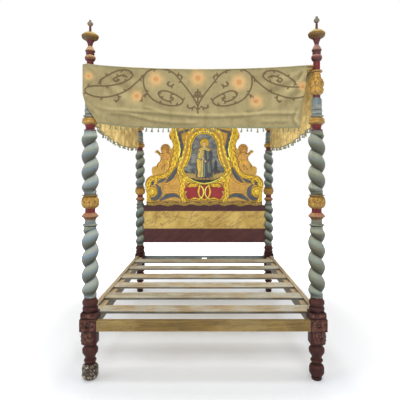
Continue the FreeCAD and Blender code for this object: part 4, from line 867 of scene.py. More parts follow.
def build_marbling(graph):
    """Yellow paint combed with brown veins to look like marble."""
    where = graph.place()
    bent = graph.stretch(leaning(graph, 0.6), (1.0, 1.0, 2.4))
    drift = graph.noise(bent, 5.0, 4.0)
    veins = graph.noise(bent, 5.0, 5.0, 0.62)
    clouds = graph.noise(where, 6.0, 4.0)
    thin = graph.ease(graph.math("ABSOLUTE", graph.less(veins, 0.50)), 0.048, 0.0)
    thin = graph.times(thin, graph.ease(drift, 0.44, 0.54))
    broad = graph.ease(graph.noise(where, 16.0, 4.0), 0.50, 0.70)
    shade = graph.mix(graph.ease(clouds, 0.3, 0.7), tone(190, 156, 74), tone(220, 192, 110))
    shade = graph.mix(graph.times(broad, 0.45), shade, tone(164, 124, 58))
    shade = graph.mix(graph.times(thin, 0.66), shade, tone(112, 82, 40))
    # Painted shade: darker where other surfaces close in.
    recess_shade = graph.ease(graph.openness(30 * MM), 0.95, 0.3, 1.0, 0.6)
    return {
        "Base Color": graph.dim(shade, recess_shade),
        "Roughness": graph.ease(clouds, 0.2, 0.8, 0.42, 0.58),
        "Height": graph.noise(where, 300.0, 2.0),
    }


def brushed_aslant(graph):
    return graph.stretch(leaning(graph, 0.7), (0.5, 2.0, 2.4))


board_maroon = painted(
    "headboard_maroon", (78, 44, 46), (88, 52, 48), (128, 92, 84), wear=0.16, hollow_grime_and_shade=0.6, grime_and_shade_colour=(36, 21, 24),
    lay=brushed_aslant, gloss=0.3)
board_plum = painted(
    "headboard_plum", (72, 42, 52), (78, 46, 48), (122, 88, 84), wear=0.12, hollow_grime_and_shade=0.6, grime_and_shade_colour=(34, 20, 26),
    lay=brushed_aslant, gloss=0.3)
batten_wood = sawn("batten_wood", (186, 156, 112), (124, 96, 62), (160, 150, 130), 0.4, ALONG_Z)
BOARD_EDGE = 1.2 * MM
dress("headboard_lower", board_maroon, BOARD_EDGE)
dress("headboard_middle", material("marbled_paint", build_marbling, 0.4 * MM), BOARD_EDGE)
dress("headboard_upper", board_plum, BOARD_EDGE)
dress("crest_battens", batten_wood, SAWN_EDGE)

# Crest. Boards carved in low relief and painted: gilt scrolls and leaves on an ochre ground with blue
# and red fields. Each keeps its solid's own outline; its ornament is drawn on the right half, in
# millimetres from the middle line and the floor, and repeats on the left.
# The highlight gold is a painted highlight, laid on the tops of scrolls, bosses and ribs.
PAINTS = {
    "gold": ((214, 180, 52), 1.0), "highlight_gold": ((246, 222, 104), 0.8), "ochre": ((198, 158, 72), 0.1),
    "orange": ((202, 156, 68), 0.1), "dull": ((156, 128, 54), 1.0), "blue": ((70, 82, 92), 0.0),
    "red": ((150, 32, 40), 0.0), "plum": ((72, 40, 54), 0.0), "dark": ((48, 40, 36), 0.0),
    "tan": ((204, 156, 74), 0.2), "curl": ((182, 132, 54), 0.2), "cream": ((196, 176, 100), 0.0),
    "steel": ((110, 120, 112), 0.0), "navy": ((60, 72, 86), 0.0), "mantle": ((222, 190, 78), 0.3),
    "skin": ((208, 172, 118), 0.0), "earth": ((160, 132, 66), 0.0),
}
CARVED_SHADE = np.array((0.72, 0.82, 0.95))
SPOTS = 97


def mottle(x, z, size, seed):
    """A smooth chance pattern from 0 to 1 whose spots are about one size across."""
    spots = np.random.default_rng(seed).uniform(0, 1, (SPOTS, SPOTS))
    across, up = x / size + SPOTS // 2, z / size
    column, row = np.floor(across).astype(int), np.floor(up).astype(int)
    share_x, share_z = across - column, up - row
    share_x, share_z = share_x ** 2 * (3 - 2 * share_x), share_z ** 2 * (3 - 2 * share_z)
    lower, upper = [
        spots[line % SPOTS, column % SPOTS] * (1 - share_x)
        + spots[line % SPOTS, (column + 1) % SPOTS] * share_x
        for line in (row, row + 1)
    ]
    return lower * (1 - share_z) + upper * share_z


def outline_edges(node):
    """The rim of a board's front face as rows of start x, start z, end x, end z."""
    points = coordinates(node)
    mesh = nodes[node].data
    mesh.calc_loop_triangles()
    triangles = np.empty(len(mesh.loop_triangles) * 3, np.int32)
    mesh.loop_triangles.foreach_get("vertices", triangles)
    triangles = triangles.reshape(-1, 3)
    front = points[:, 1] < points[:, 1].min() + 0.1 * MM
    triangles = triangles[front[triangles].all(axis=1)]
    sides = np.sort(triangles[:, [0, 1, 1, 2, 2, 0]].reshape(-1, 2), axis=1)
    sides, uses = np.unique(sides, axis=0, return_counts=True)
    rim = sides[uses == 1]
    return np.hstack((points[rim[:, 0]][:, [0, 2]], points[rim[:, 1]][:, [0, 2]]))


def spline(points, steps=9):
    """A smooth line through a few points."""
    given = np.asarray(points, float)
    ends = np.vstack((2 * given[0] - given[1], given, 2 * given[-1] - given[-2]))
    share = np.arange(steps)[:, None] / steps
    line = []
    for a, b, c, d in zip(ends[:-3], ends[1:-2], ends[2:-1], ends[3:]):
        line.append(0.5 * (2 * b + (c - a) * share + (2 * a - 5 * b + 4 * c - d) * share ** 2
                           + (3 * b - a - 3 * c + d) * share ** 3))
    return np.vstack(line + [given[-1:]])


def spiral(centre, outer, inner, start_degrees, turns, steps=40):
    """A volute that winds from its outer radius to its eye; negative turns wind clockwise."""
    share = np.linspace(0, 1, steps)
    angle = np.radians(start_degrees) + 2 * np.pi * turns * share
    radius = outer + (inner - outer) * share
    return np.column_stack((centre[0] + radius * np.cos(angle), centre[1] + radius * np.sin(angle)))


def from_run(x, z, x0, z0, x1, z1):
    """Share along a straight run, and distance from it."""
    length = max((x1 - x0) ** 2 + (z1 - z0) ** 2, 1e-12)
    share = np.clip(((x - x0) * (x1 - x0) + (z - z0) * (z1 - z0)) / length, 0, 1)
    return share, np.hypot(x - x0 - share * (x1 - x0), z - z0 - share * (z1 - z0))


def lengths_along(line):
    """How far along a line each of its points is."""
    return np.append(0, np.cumsum(np.linalg.norm(np.diff(line, axis=0), axis=1)))


CHIPS = (17 * MM, 3), (8 * MM, 4)
CHIP_DEPTH, CHIPPED_RISE = 2.0 * MM, 9 * MM
RIM_REACH = 26 * MM
ROUND_OVER = 5 * MM
HOLLOW_DEPTH, RIDGE_HEIGHT = 2.2 * MM, 2.6 * MM


class Relief:
    """Heights and colours over a grid in front of a board, drawn ornament by ornament."""

    def __init__(self, node, step, ground, thick, rise, sides=0):
        self.node = node
        self.step = step
        low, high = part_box(node)
        margin = 4 * step
        self.back = high.y
        self.face = high.y - thick
        self.rise = rise
        self.across = np.arange(low.x - margin, high.x + margin, step)
        self.up = np.arange(low.z - margin, high.z + margin, step)
        self.x, self.z = np.meshgrid(self.across, self.up)
        self.local = {0: np.abs(self.x), 1: self.x, -1: -self.x}[sides]
        self.edges = outline_edges(node)
        self.rim = self.rim_distance(RIM_REACH)
        self.height = np.full(self.x.shape, -1.0)
        self.shade = np.zeros((*self.x.shape, 3))
        self.gilt = np.zeros(self.x.shape)
        self.lay(np.zeros(self.x.shape), ground)

    def window(self, low_x, high_x, low_z, high_z):
        columns = slice(*np.searchsorted(self.across, (low_x, high_x)))
        rows = slice(*np.searchsorted(self.up, (low_z, high_z)))
        return rows, columns

    def crossed(self, inside, along, x0, z0, x1, z1):
        """Flip the points that lie left of one run of a closed line."""
        if z0 != z1:
            rows = slice(*np.searchsorted(self.up, (min(z0, z1), max(z0, z1))))
            inside[rows] ^= along[rows] < x0 + (x1 - x0) * (self.z[rows] - z0) / (z1 - z0)

    def rim_distance(self, reach):
        """Distance to the outline, negative inside it."""
        inside = np.zeros(self.x.shape, bool)
        distance = np.full(self.x.shape, reach)
        for x0, z0, x1, z1 in self.edges:
            self.crossed(inside, self.x, x0, z0, x1, z1)
            part = self.window(
                min(x0, x1) - reach, max(x0, x1) + reach, min(z0, z1) - reach, max(z0, z1) + reach)
            share, gap = from_run(self.x[part], self.z[part], x0, z0, x1, z1)
            distance[part] = np.minimum(distance[part], gap)
        return np.where(inside, -distance, distance)

    def lay(self, height, paint, where=True):
        """Colour and raise the points of an ornament that stand above what is there."""
        shade, gilt = PAINTS[paint]
        higher = where & (height > self.height)
        self.height = np.where(higher, height, self.height)
        self.shade[higher] = tone(*shade)[:3]
        self.gilt[higher] = gilt

    def ribbon(self, points, widths, rise, paint, ribs=0, groove=0.0, base=0.0, curved=True):
        """A raised band along a line. Ribs scallop and vein it as a leaf; a groove hollows its middle."""
        line = (spline(points) if curved else np.asarray(points, float)) * MM
        shares = lengths_along(line)
        shares = shares / shares[-1]
        reach = 1.35 * max(widths) * MM
        nearest = np.full(self.x.shape, 1.0)
        along = np.zeros(self.x.shape)
        for (x0, z0), (x1, z1), start, end in zip(line[:-1], line[1:], shares[:-1], shares[1:]):
            rows = slice(*np.searchsorted(self.up, (min(z0, z1) - reach, max(z0, z1) + reach)))
            share, gap = from_run(self.local[rows], self.z[rows], x0, z0, x1, z1)
            closer = gap < nearest[rows]
            nearest[rows] = np.where(closer, gap, nearest[rows])
            along[rows] = np.where(closer, start + share * (end - start), along[rows])
        half = np.interp(along, np.linspace(0, 1, len(widths)), np.asarray(widths, float) * MM)
        across = nearest / np.maximum(half, 0.1 * MM)
        phase = 2 * np.pi * (ribs * along - 0.75 * np.minimum(across, 1))
        if ribs:
            across = across / (0.93 + 0.11 * np.cos(phase))
        dome = np.sqrt(np.clip(1 - across ** 3, 0, 1))
        if ribs:
            dome = dome * (0.82 + 0.18 * np.cos(phase))
        dome = dome - groove * np.exp(-((across / 0.22) ** 2))
        self.lay((base + rise * dome) * MM, paint, across < 1)

    def boss(self, centre, radii, rise, paint, lean=0.0, base=0.0, petals=0):
        """A raised oval; petals notch it into a flower."""
        x = self.local - centre[0] * MM
        z = self.z - centre[1] * MM
        turn = math.radians(lean)
        along = (x * math.cos(turn) + z * math.sin(turn)) / (radii[0] * MM)
        over = (z * math.cos(turn) - x * math.sin(turn)) / (radii[1] * MM)
        out = np.hypot(along, over)
        if petals:
            out = out / (0.80 + 0.20 * np.abs(np.cos(petals / 2 * np.arctan2(over, along))))
        dome = np.sqrt(np.clip(1 - out ** 2, 0, 1))
        self.lay((base + rise * dome) * MM, paint, out < 1)

    def field(self, corners, height, paint):
        """A painted field inside a smooth closed line, as high as a number or an array says."""
        line = spline(list(corners) + [corners[0]]) * MM
        inside = np.zeros(self.x.shape, bool)
        for (x0, z0), (x1, z1) in zip(line[:-1], line[1:]):
            self.crossed(inside, self.local, x0, z0, x1, z1)
        self.lay(height * MM, paint, inside)

    def onto_outline(self, cells):
        """How far points beside the outline move, across and up, to lie on it."""
        rows, columns = self.x.shape
        uses = np.zeros(self.x.shape, int)
        for shift_z in (0, 1):
            for shift_x in (0, 1):
                uses[shift_z:rows - 1 + shift_z, shift_x:columns - 1 + shift_x] += cells
        slope_z, slope_x = np.gradient(self.rim, self.step)
        steep = np.maximum(np.hypot(slope_x, slope_z), 0.4)
        move = np.where((uses > 0) & (uses < 4), np.clip(self.rim, -0.8 * self.step, 0.8 * self.step), 0)
        return move * slope_x / steep, move * slope_z / steep

    def close(self, mesh, back_finish):
        """Walls along the outline and a plain back."""
        solid = bmesh.new()
        solid.from_mesh(mesh)
        rim = [edge for edge in solid.edges if edge.is_boundary]
        for vertex in bmesh.ops.extrude_edge_only(solid, edges=rim)["geom"]:
            if isinstance(vertex, bmesh.types.BMVert):
                vertex.co.y = self.back
        loop = [edge for edge in solid.edges if edge.is_boundary]
        for face in bmesh.ops.triangle_fill(solid, edges=loop, use_beauty=True)["geom"]:
            if isinstance(face, bmesh.types.BMFace):
                face.material_index = back_finish
                face.smooth = False
        bmesh.ops.recalc_face_normals(solid, faces=solid.faces)
        solid.to_mesh(mesh)
        solid.free()

    def piece(self, name, slot, finishes):
        """The closed carving: relief in front in the first finish, the back in the last one."""
        inner = self.rim < 0.45 * self.step
        cells = inner[:-1, :-1] & inner[1:, :-1] & inner[:-1, 1:] & inner[1:, 1:]
        move_x, move_z = self.onto_outline(cells)
        round_over = np.clip(-self.rim / ROUND_OVER, 0, 1)
        lift = np.clip(self.height, 0, self.rise) * np.sqrt(1 - (1 - round_over) ** 2)
        large, small = [mottle(self.x, self.z, size, seed) for size, seed in CHIPS]
        chips = large + 0.6 * small - 0.8
        lift = lift + CHIP_DEPTH * chips * self.gilt * round_over * min(self.rise / CHIPPED_RISE, 1)
        y = self.face - np.clip(lift, 0, self.rise)
        points = np.stack((self.x - move_x, y, self.z - move_z), axis=-1)
        # Painted shade in the hollows of the carving and a painted highlight on its ridges, laid into the
        # tint.
        sunk = self.height.copy()
        for turn in range(8):
            sunk[1:-1, 1:-1] = (sunk[:-2, 1:-1] + sunk[2:, 1:-1] + sunk[1:-1, :-2] + sunk[1:-1, 2:]) / 4
        hollow = np.clip((sunk - self.height) / HOLLOW_DEPTH, 0, 1)
        ridge = np.clip((self.height - sunk) / RIDGE_HEIGHT, 0, 1)
        shade = self.shade * (1 - hollow[..., None] * CARVED_SHADE + 0.40 * ridge[..., None])
        shade = shade * (1 + 0.55 * (chips * self.gilt)[..., None] * np.array((0.6, 0.8, 1.4)))
        tint = np.concatenate((np.clip(shade, 0, 1), np.ones((*self.x.shape, 1))), axis=-1)
        marks = {"tint": tint, "gilt": self.gilt * (1 - hollow)}
        quads = grid_faces(*self.x.shape)[cells.ravel()]
        piece = new_piece(name, points, quads, finishes, marks, outward=False)
        self.close(piece.data, len(finishes) - 1)
        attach(piece, "frame")
        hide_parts(self.node)


def build_polychrome(graph):
    """Carving painted in the colours its surface carries, chipped and dulled, with painted shade in its
    hollows, gilt where marked.
    """
    where = graph.place()
    tint = graph.mark("tint", "Color")
    clouds = graph.noise(where, 16.0, 4.0)
    patches = graph.noise(where, 100.0, 6.0, 0.65)
    shade = graph.dim(tint, graph.ease(clouds, 0.25, 0.75, 0.82, 1.16))
    shade = graph.dim(shade, graph.ease(patches, 0.25, 0.75, 0.74, 1.22))
    bare = graph.ease(patches, 0.66, 0.72)
    shade = graph.mix(graph.times(bare, 0.6), shade, tone(132, 88, 40))
    # Painted shade in the hollows of the carving.
    hollow_shade = graph.ease(graph.openness(14 * MM), 0.90, 0.35, 0.0, 0.7)
    shade = graph.mix(hollow_shade, shade, tone(56, 38, 20))
    return {
        "Base Color": shade,
        "Metallic": graph.times(graph.mark("gilt"), 0.22),
        "Roughness": graph.ease(patches, 0.2, 0.8, 0.36, 0.58),
        "Height": patches,
    }


polychrome = material("crest_polychrome", build_polychrome, 0.6 * MM)
back_wood = sawn("crest_back_wood", (168, 138, 98), (112, 86, 56), (150, 140, 122), 0.3, ALONG_X)
carved_finish = [polychrome, back_wood]

crest = Relief("crest_board", 3.0 * MM, "ochre", 30 * MM, 13 * MM)
crest.field([(190, 1770), (236, 1745), (240, 1670), (222, 1590), (204, 1640), (196, 1710)], 1.0, "orange")
crest.field(
    [(290, 1255), (350, 1205), (430, 1180), (452, 1120), (430, 1085), (330, 1095), (268, 1075), (262, 1170)],
    1.0, "orange")
crest.field([(0, 1215), (110, 1210), (180, 1190), (212, 1140), (200, 1110), (0, 1110)], 1.0, "red")
crest.lay(0.5 * MM, "plum", crest.z < 984 * MM)
crest.ribbon([(0, 1895), (115, 1875), (220, 1848), (300, 1846), (352, 1850)], (28, 28, 26), 9, "gold", ribs=8)
crest.ribbon(
    [(352, 1850), (345, 1784), (332, 1718), (308, 1640), (297, 1552), (318, 1475), (348, 1390), (376, 1326)],
    (40, 46, 46, 44, 41, 36, 30, 16), 12, "gold", ribs=9, groove=0.22)
# A painted highlight line along the main scroll.
crest.ribbon(
    [(316, 1800), (304, 1724), (282, 1646), (268, 1556), (284, 1484)], (6, 7, 7, 6), 3, "highlight_gold", base=9)
crest.ribbon(
    [(270, 1734), (268, 1679), (250, 1607), (246, 1541), (256, 1484)], (13, 20, 20, 17, 6), 5, "blue",
    groove=0.3)
crest.ribbon([(288, 1752), (220, 1770), (150, 1790)], (9, 12, 7), 5, "blue", groove=0.3)
# A flower in highlight gold, a painted highlight.
crest.boss((266, 1462), (18, 24), 12, "highlight_gold", lean=20, petals=5)
crest.ribbon([(306, 1370), (338, 1296), (384, 1246), (422, 1208)], (4, 20, 21, 4), 5, "blue", groove=0.35)
crest.ribbon([(424, 1244), (476, 1222), (524, 1202)], (4, 16, 4), 5, "blue", groove=0.35)
crest.ribbon(
    [(376, 1330), (410, 1296), (462, 1270), (520, 1268), (556, 1262)], (14, 20, 20, 16, 8), 9, "gold",
    ribs=5, groove=0.2)
crest.ribbon(
    [(530, 1178), (496, 1132), (494, 1070), (538, 1028), (592, 1032)], (6, 20, 22, 20, 6), 5, "blue",
    groove=0.3)
crest.ribbon([(258, 1032), (325, 1064), (407, 1054), (486, 1010)], (4, 19, 23, 8), 5, "blue", groove=0.3)
crest.ribbon(
    [(596, 990), (624, 1040), (630, 1110), (620, 1180), (590, 1236), (546, 1246), (528, 1214), (548, 1190)],
    (22, 26, 30, 30, 28, 22, 15, 9), 11, "gold", ribs=8, groove=0.2)
crest.boss((574, 1198), (17, 22), 4, "navy")
crest.ribbon(spiral((580, 1106), 50, 26, 235, -0.95), (9, 11, 11, 9), 9, "gold", ribs=5, curved=False)
crest.boss((578, 1106), (36, 38), 12, "gold")
# Painted highlight on the boss at the eye of the volute.
crest.boss((572, 1112), (20, 20), 13, "highlight_gold")
crest.ribbon(
    [(268, 1300), (246, 1236), (238, 1170), (250, 1104), (240, 1034), (212, 994)],
    (24, 32, 27, 27, 24, 18), 10, "gold", ribs=6, groove=0.18)
crest.ribbon([(306, 1300), (350, 1230), (408, 1196), (470, 1190)], (5, 8, 8, 4), 5, "tan", ribs=5)
crest.ribbon(
    [(268, 1084), (330, 1098), (400, 1092), (462, 1110), (472, 1160)], (4, 7, 8, 8, 4), 4, "tan", ribs=6)
crest.ribbon(
    [(300, 1180), (340, 1150), (380, 1152), (410, 1130)], (4, 14, 14, 4), 3, "tan", ribs=4, groove=0.2)
crest.ribbon([(360, 1440), (392, 1430), (420, 1380)], (12, 22, 10), 6, "tan", ribs=3, groove=0.2)
crest.ribbon([(62, 1196), (104, 1178), (146, 1184), (184, 1160)], (6, 12, 12, 5), 8, "gold", ribs=4)
crest.ribbon([(20, 1200), (46, 1188), (60, 1160)], (6, 8, 6), 8, "gold")
crest.piece("crest_carving", "crest_paint", carved_finish)

# Border: a gilt strip of leaves set along the foot of the crest, its lower edge cut in waves, with plum
# showing where the gilding is rubbed.
BORDER_LEAF, BORDER_SLOPE = 52 * MM, 15 * MM
BORDER_RISE = 6 * MM
border = Relief("crest_border", 2.4 * MM, "dull", 4 * MM, BORDER_RISE)
leaves = np.abs(np.sin(np.pi * border.x / BORDER_LEAF + 4 * border.z / (60 * MM))) ** 0.8
dome = np.sqrt(np.clip(-border.rim / BORDER_SLOPE, 0, 1))
border.lay(BORDER_RISE * dome * (0.45 + 0.55 * leaves), "dull")
for place_x in (60, 180, 300, 420, 540, 615):
    border.boss((place_x, 985), (30, 5), 0.8, "plum", lean=8, base=5.2)
border.piece("crest_border_carving", "gilding", carved_finish)


# Niche panel: the flat board behind the figure, painted as a cloudy sky with a cypress, shrubs and earth;
# the heights are from the floor, in metres.
CYPRESS_AT, CYPRESS_HALF = (0.127, 1.385), (0.017, 0.075)
SHRUBS_TOP, SHRUBS_FOOT = 1.40, 1.28
EARTH_TOP, EARTH_FOOT = (1.315, 1.295), (1.262, 1.244)


def build_niche_sky(graph):
    """The niche's ground: clouded grey-blue, a dark cypress on the right, ochre earth at the foot."""
    where = graph.place()
    parts = graph.parts(where)
    clouds = graph.noise(graph.stretch(where, (1.0, 1.0, 1.6)), 14.0, 5.0)
    shade = graph.mix(graph.ease(clouds, 0.35, 0.66), tone(78, 86, 94), tone(138, 144, 144))
    aside = graph.math("DIVIDE", graph.less(parts["X"], CYPRESS_AT[0]), CYPRESS_HALF[0])
    above = graph.math("DIVIDE", graph.less(parts["Z"], CYPRESS_AT[1]), CYPRESS_HALF[1])
    apart = graph.plus(graph.times(aside, aside), graph.times(above, above))
    ragged = graph.plus(apart, graph.times(graph.noise(where, 120.0, 3.0), 0.8))
    shade = graph.mix(graph.ease(ragged, 1.5, 1.1, 0.0, 0.9), shade, tone(34, 34, 42))
    shrubs = graph.noise(graph.stretch(where, (1.0, 1.0, 0.5)), 46.0, 4.0, 0.6)
    low_down = graph.ease(parts["Z"], SHRUBS_TOP, SHRUBS_FOOT, 0.0, 0.30)
    shrubs = graph.ease(graph.plus(shrubs, low_down), 0.64, 0.74, 0.0, 0.85)
    shade = graph.mix(shrubs, shade, tone(46, 46, 38))
    ground = graph.plus(parts["Z"], graph.times(graph.less(clouds, 0.5), 0.10))
    shade = graph.mix(graph.ease(ground, *EARTH_TOP), shade, tone(176, 150, 84))
    shade = graph.mix(graph.ease(ground, *EARTH_FOOT), shade, tone(44, 46, 44))
    # Painted shade where the niche closes in round the panel.
    hollow_shade = graph.ease(graph.openness(20 * MM), 0.95, 0.35, 0.0, 0.6)
    shade = graph.mix(hollow_shade, shade, tone(38, 36, 36))
    return {"Base Color": shade, "Roughness": graph.ease(clouds, 0.2, 0.8, 0.5, 0.66), "Height": clouds}


dress("niche_panel", material("niche_paint", build_niche_sky, 0.6 * MM))

# Niche frame: carved from one board and gilt, a bead round the opening and beyond it two leafy ribs
# with an ochre hollow between them; bosses and two scrolls are carved over it.
NICHE_MIDDLE = 1.450
LEAF_PITCH = 52 * MM
RIM_PARTS = 180
BEAD_MIDDLE, BEAD_HALF, BEAD_ROOM = 7, 6, 17
surround = Relief("niche_frame", 2.4 * MM, "orange", 6 * MM, 12 * MM)
samples = np.linspace(0, 1, 16)[:, None, None]
rim_points = (surround.edges[:, :2] * (1 - samples) + surround.edges[:, 2:] * samples).reshape(-1, 2)
rim_turn = np.arctan2(rim_points[:, 1] - NICHE_MIDDLE, np.abs(rim_points[:, 0]))
rim_out = np.hypot(rim_points[:, 0], rim_points[:, 1] - NICHE_MIDDLE)
bins = np.linspace(-np.pi / 2, np.pi / 2, RIM_PARTS + 1)
place = np.clip(np.searchsorted(bins, rim_turn) - 1, 0, RIM_PARTS - 1)
opening = np.array([rim_out[place == number].min() for number in range(RIM_PARTS)])
reach = np.array([rim_out[place == number].max() for number in range(RIM_PARTS)])
turns = (bins[:-1] + bins[1:]) / 2
middle_line = np.column_stack((np.cos(turns), np.sin(turns))) * ((opening + reach) / 2)[:, None]
run = lengths_along(middle_line)
turn = np.arctan2(surround.z - NICHE_MIDDLE, surround.local)
out = np.hypot(surround.x, surround.z - NICHE_MIDDLE)
from_opening = (out - np.interp(turn, turns, opening)) / MM
width = np.maximum(np.interp(turn, turns, reach - opening) / MM, 1)
fan = np.clip((from_opening - BEAD_ROOM) / np.maximum(width - BEAD_ROOM, 4), 0, 1)
lobe = np.abs(np.cos(np.pi * np.interp(turn, turns, run) / LEAF_PITCH + 0.9 * fan)) ** 0.7
ribs = np.maximum(np.exp(-((fan - 0.20) / 0.22) ** 2), np.exp(-((fan - 0.84) / 0.22) ** 2))
leafwork = (2 + 9 * ribs) * (0.60 + 0.40 * lobe)
beyond = from_opening > BEAD_ROOM
surround.lay(leafwork * MM, "ochre", beyond)
surround.lay((leafwork + 0.1) * MM, "gold", beyond & (ribs > 0.55))
# Painted highlight on the highest points of the ribs; the lower bead, the top bosses and the scroll's eye
# take it too.
surround.lay((leafwork + 0.2) * MM, "highlight_gold", beyond & (ribs * lobe > 0.86))
bead = np.sqrt(np.clip(1 - ((from_opening - BEAD_MIDDLE) / BEAD_HALF) ** 2, 0, 1))
surround.lay(9 * bead * MM, "gold", bead > 0)
surround.lay((9 * bead + 0.1) * MM, "highlight_gold", (bead > 0) & (surround.z < 1275 * MM))
surround.boss((0, 1788), (52, 32), 12, "gold", petals=7)
for place_x, place_z in ((0, 1760), (26, 1766), (50, 1760), (72, 1748)):
    surround.boss((place_x, place_z), (10, 12), 12, "highlight_gold")
surround.ribbon(spiral((186, 1262), 42, 12, 110, -1.25), (13, 13, 10), 11, "gold", ribs=5, curved=False)
surround.boss((186, 1262), (17, 17), 12, "highlight_gold")
surround.boss((268, 1352), (20, 34), 12, "gold", lean=10, petals=6)
surround.piece("niche_surround", "gilding", carved_finish)

# Cartouche: a small red board under the niche, with gilt leaves in its upper corners and interlaced
# scrolls in the middle.
shield = Relief("cartouche", 2.4 * MM, "red", 5 * MM, 7 * MM)
shield.lay(4 * MM, "gold", (shield.rim > -6 * MM) & (shield.z < 1060 * MM))
shield.ribbon(
    [(22, 1186), (48, 1164), (64, 1108), (50, 1052), (14, 1022)], (6, 8, 9, 8, 6), 6, "gold", groove=0.3)
# This scroll is laid in highlight gold, a painted highlight.
shield.ribbon(
    [(58, 1180), (22, 1150), (8, 1100), (22, 1050), (62, 1020)], (5, 6, 7, 6, 5), 7, "highlight_gold", groove=0.3)
shield.ribbon([(70, 1176), (104, 1164), (140, 1168), (168, 1150)], (5, 11, 11, 4), 6, "gold", ribs=4)
shield.ribbon([(60, 1022), (104, 1032), (150, 1020)], (6, 9, 4), 5, "gold", ribs=4)
shield.piece("cartouche_carving", "cartouche_paint", carved_finish)

# Robed figure: carved in relief before the niche's panel. It stands on stony ground with a gilt ring
# behind its head, in a pale gown, a dark cloak and a yellow mantle over one shoulder.
figure = Relief("robed_figure", 2.0 * MM, "earth", 5 * MM, 17 * MM, sides=1)
fall = (1575 - figure.z / MM) / 330
spread = figure.x / MM / (54 + 40 * fall)
pleats = 8 + (0.8 + 2.4 * fall) * np.cos(2 * np.pi * 3.4 * spread + 0.7 * np.sin(7 * fall))
figure.boss((0, 1646), (46, 45), 5, "gold")
STONES = (-78, 1262, 24), (-40, 1252, 18), (36, 1250, 20), (80, 1264, 24), (0, 1246, 16)
for place_x, place_z, size in STONES:
    figure.boss((place_x, place_z), (size, 0.7 * size), 8, "earth")
figure.field(
    [(-50, 1572), (50, 1572), (74, 1500), (78, 1400), (92, 1270), (0, 1254), (-92, 1270), (-78, 1400),
     (-74, 1500)],
    pleats, "navy")
gown = (np.abs(spread + 0.38) < 0.36) & (fall > 0.06) & (fall < 0.94)
figure.lay((pleats + 0.6) * MM, "cream", gown)
lap = (np.abs(spread + 0.02) < 0.16) & (fall > 0.2) & (fall < 0.92)
figure.lay((pleats + 1.0) * MM, "steel", lap)
hem = (np.abs(spread - 0.62) < 0.22) & (fall > 0.05) & (fall < 0.8)
figure.lay((pleats + 0.6) * MM, "steel", hem)
figure.ribbon(
    [(-44, 1566), (-62, 1500), (-66, 1420), (-60, 1330), (-66, 1276)], (15, 17, 16, 14, 8), 5, "mantle",
    ribs=6, base=8)
SLEEVE = 17, 18, 15, 10
figure.ribbon([(-56, 1552), (-76, 1498), (-56, 1458), (-22, 1464)], SLEEVE, 8, "steel", ribs=5, base=6)
figure.ribbon([(58, 1552), (78, 1494), (56, 1450), (22, 1440)], SLEEVE, 8, "navy", ribs=5, base=6)
figure.boss((-14, 1466), (13, 9), 5, "skin", base=9)
figure.boss((14, 1438), (13, 9), 5, "skin", base=9)
figure.ribbon([(-52, 1560), (0, 1580), (52, 1560)], (16, 18, 16), 8, "cream", base=5)
figure.ribbon([(0, 1606), (0, 1584)], (13, 15), 8, "skin", base=4)
figure.boss((0, 1656), (34, 32), 8, "gold", base=4, petals=16)
figure.boss((0, 1636), (21, 28), 10, "skin", base=5)
figure.boss((0, 1612), (15, 17), 9, "cream", base=5, petals=9)
figure.ribbon([(0, 1648), (0, 1632)], (2.2, 3.6), 2.4, "skin", base=14)
for side in (-1, 1):
    figure.boss((side * 8.5, 1645), (4.6, 2.3), 0.9, "dark", base=14)
    figure.ribbon(
        [(side * 14, 1649), (side * 8, 1652), (side * 3, 1650)], (1.5, 2.0, 1.5), 1.2, "curl", base=13.6)
figure.boss((0, 1622), (6, 2.0), 1.0, "red", base=14)
figure.piece("figure_carving", "figure_paint", carved_finish)

# Putti: two winged children in relief on the crest's shoulders, each from its own small board, gilt
# once and now mostly ochre.
CURLS = (406, 1594), (422, 1608), (444, 1611), (464, 1600), (474, 1580), (398, 1574)
for side, name in ((-1, "putto_left"), (1, "putto_right")):
    child = Relief(name, 2.2 * MM, "ochre", 5 * MM, 15 * MM, sides=side)
    child.ribbon([(396, 1586), (378, 1544), (380, 1484)], (12, 18, 10), 6, "gold", ribs=6, groove=0.2, base=2)
    child.boss((430, 1488), (37, 56), 10, "tan", lean=4, base=2)
    child.boss((432, 1440), (41, 36), 10, "tan", base=2)
    child.ribbon([(450, 1430), (482, 1398), (496, 1352)], (29, 26, 17), 12, "tan", base=3)
    child.ribbon([(414, 1430), (406, 1390), (420, 1350)], (28, 24, 16), 11, "tan", base=2)
    child.ribbon(
        [(478, 1450), (520, 1420), (536, 1388), (516, 1360)], (8, 15, 14, 8), 7, "gold", ribs=4, base=3)
    child.ribbon([(462, 1504), (498, 1504), (540, 1534)], (18, 16, 11), 10, "tan", base=4)
    child.ribbon([(500, 1524), (522, 1540), (544, 1542)], (5, 9, 4), 7, "gold", ribs=4, base=5)
    child.ribbon([(398, 1506), (386, 1464), (406, 1436)], (16, 15, 11), 9, "tan", base=4)
    child.ribbon([(392, 1420), (430, 1440), (474, 1424)], (8, 13, 8), 4, "gold", ribs=6, base=11)
    child.boss((435, 1570), (45, 47), 11, "curl", base=3)
    child.boss((437, 1560), (32, 36), 12, "tan", base=3)
    for place_x, place_z in CURLS:
        child.boss((place_x, place_z), (13, 12), 6, "curl", base=9, petals=5)
    child.boss((438, 1555), (5, 9), 3, "tan", base=13)
    for eye in (426, 450):
        child.boss((eye, 1568), (5, 3), 1.0, "dark", base=14)
    child.boss((438, 1540), (8, 3), 1.2, "red", base=13)
    child.boss((430, 1442), (4, 4), 2, "dark", base=12)
    child.piece(f"{name}_carving", "gilding", carved_finish)


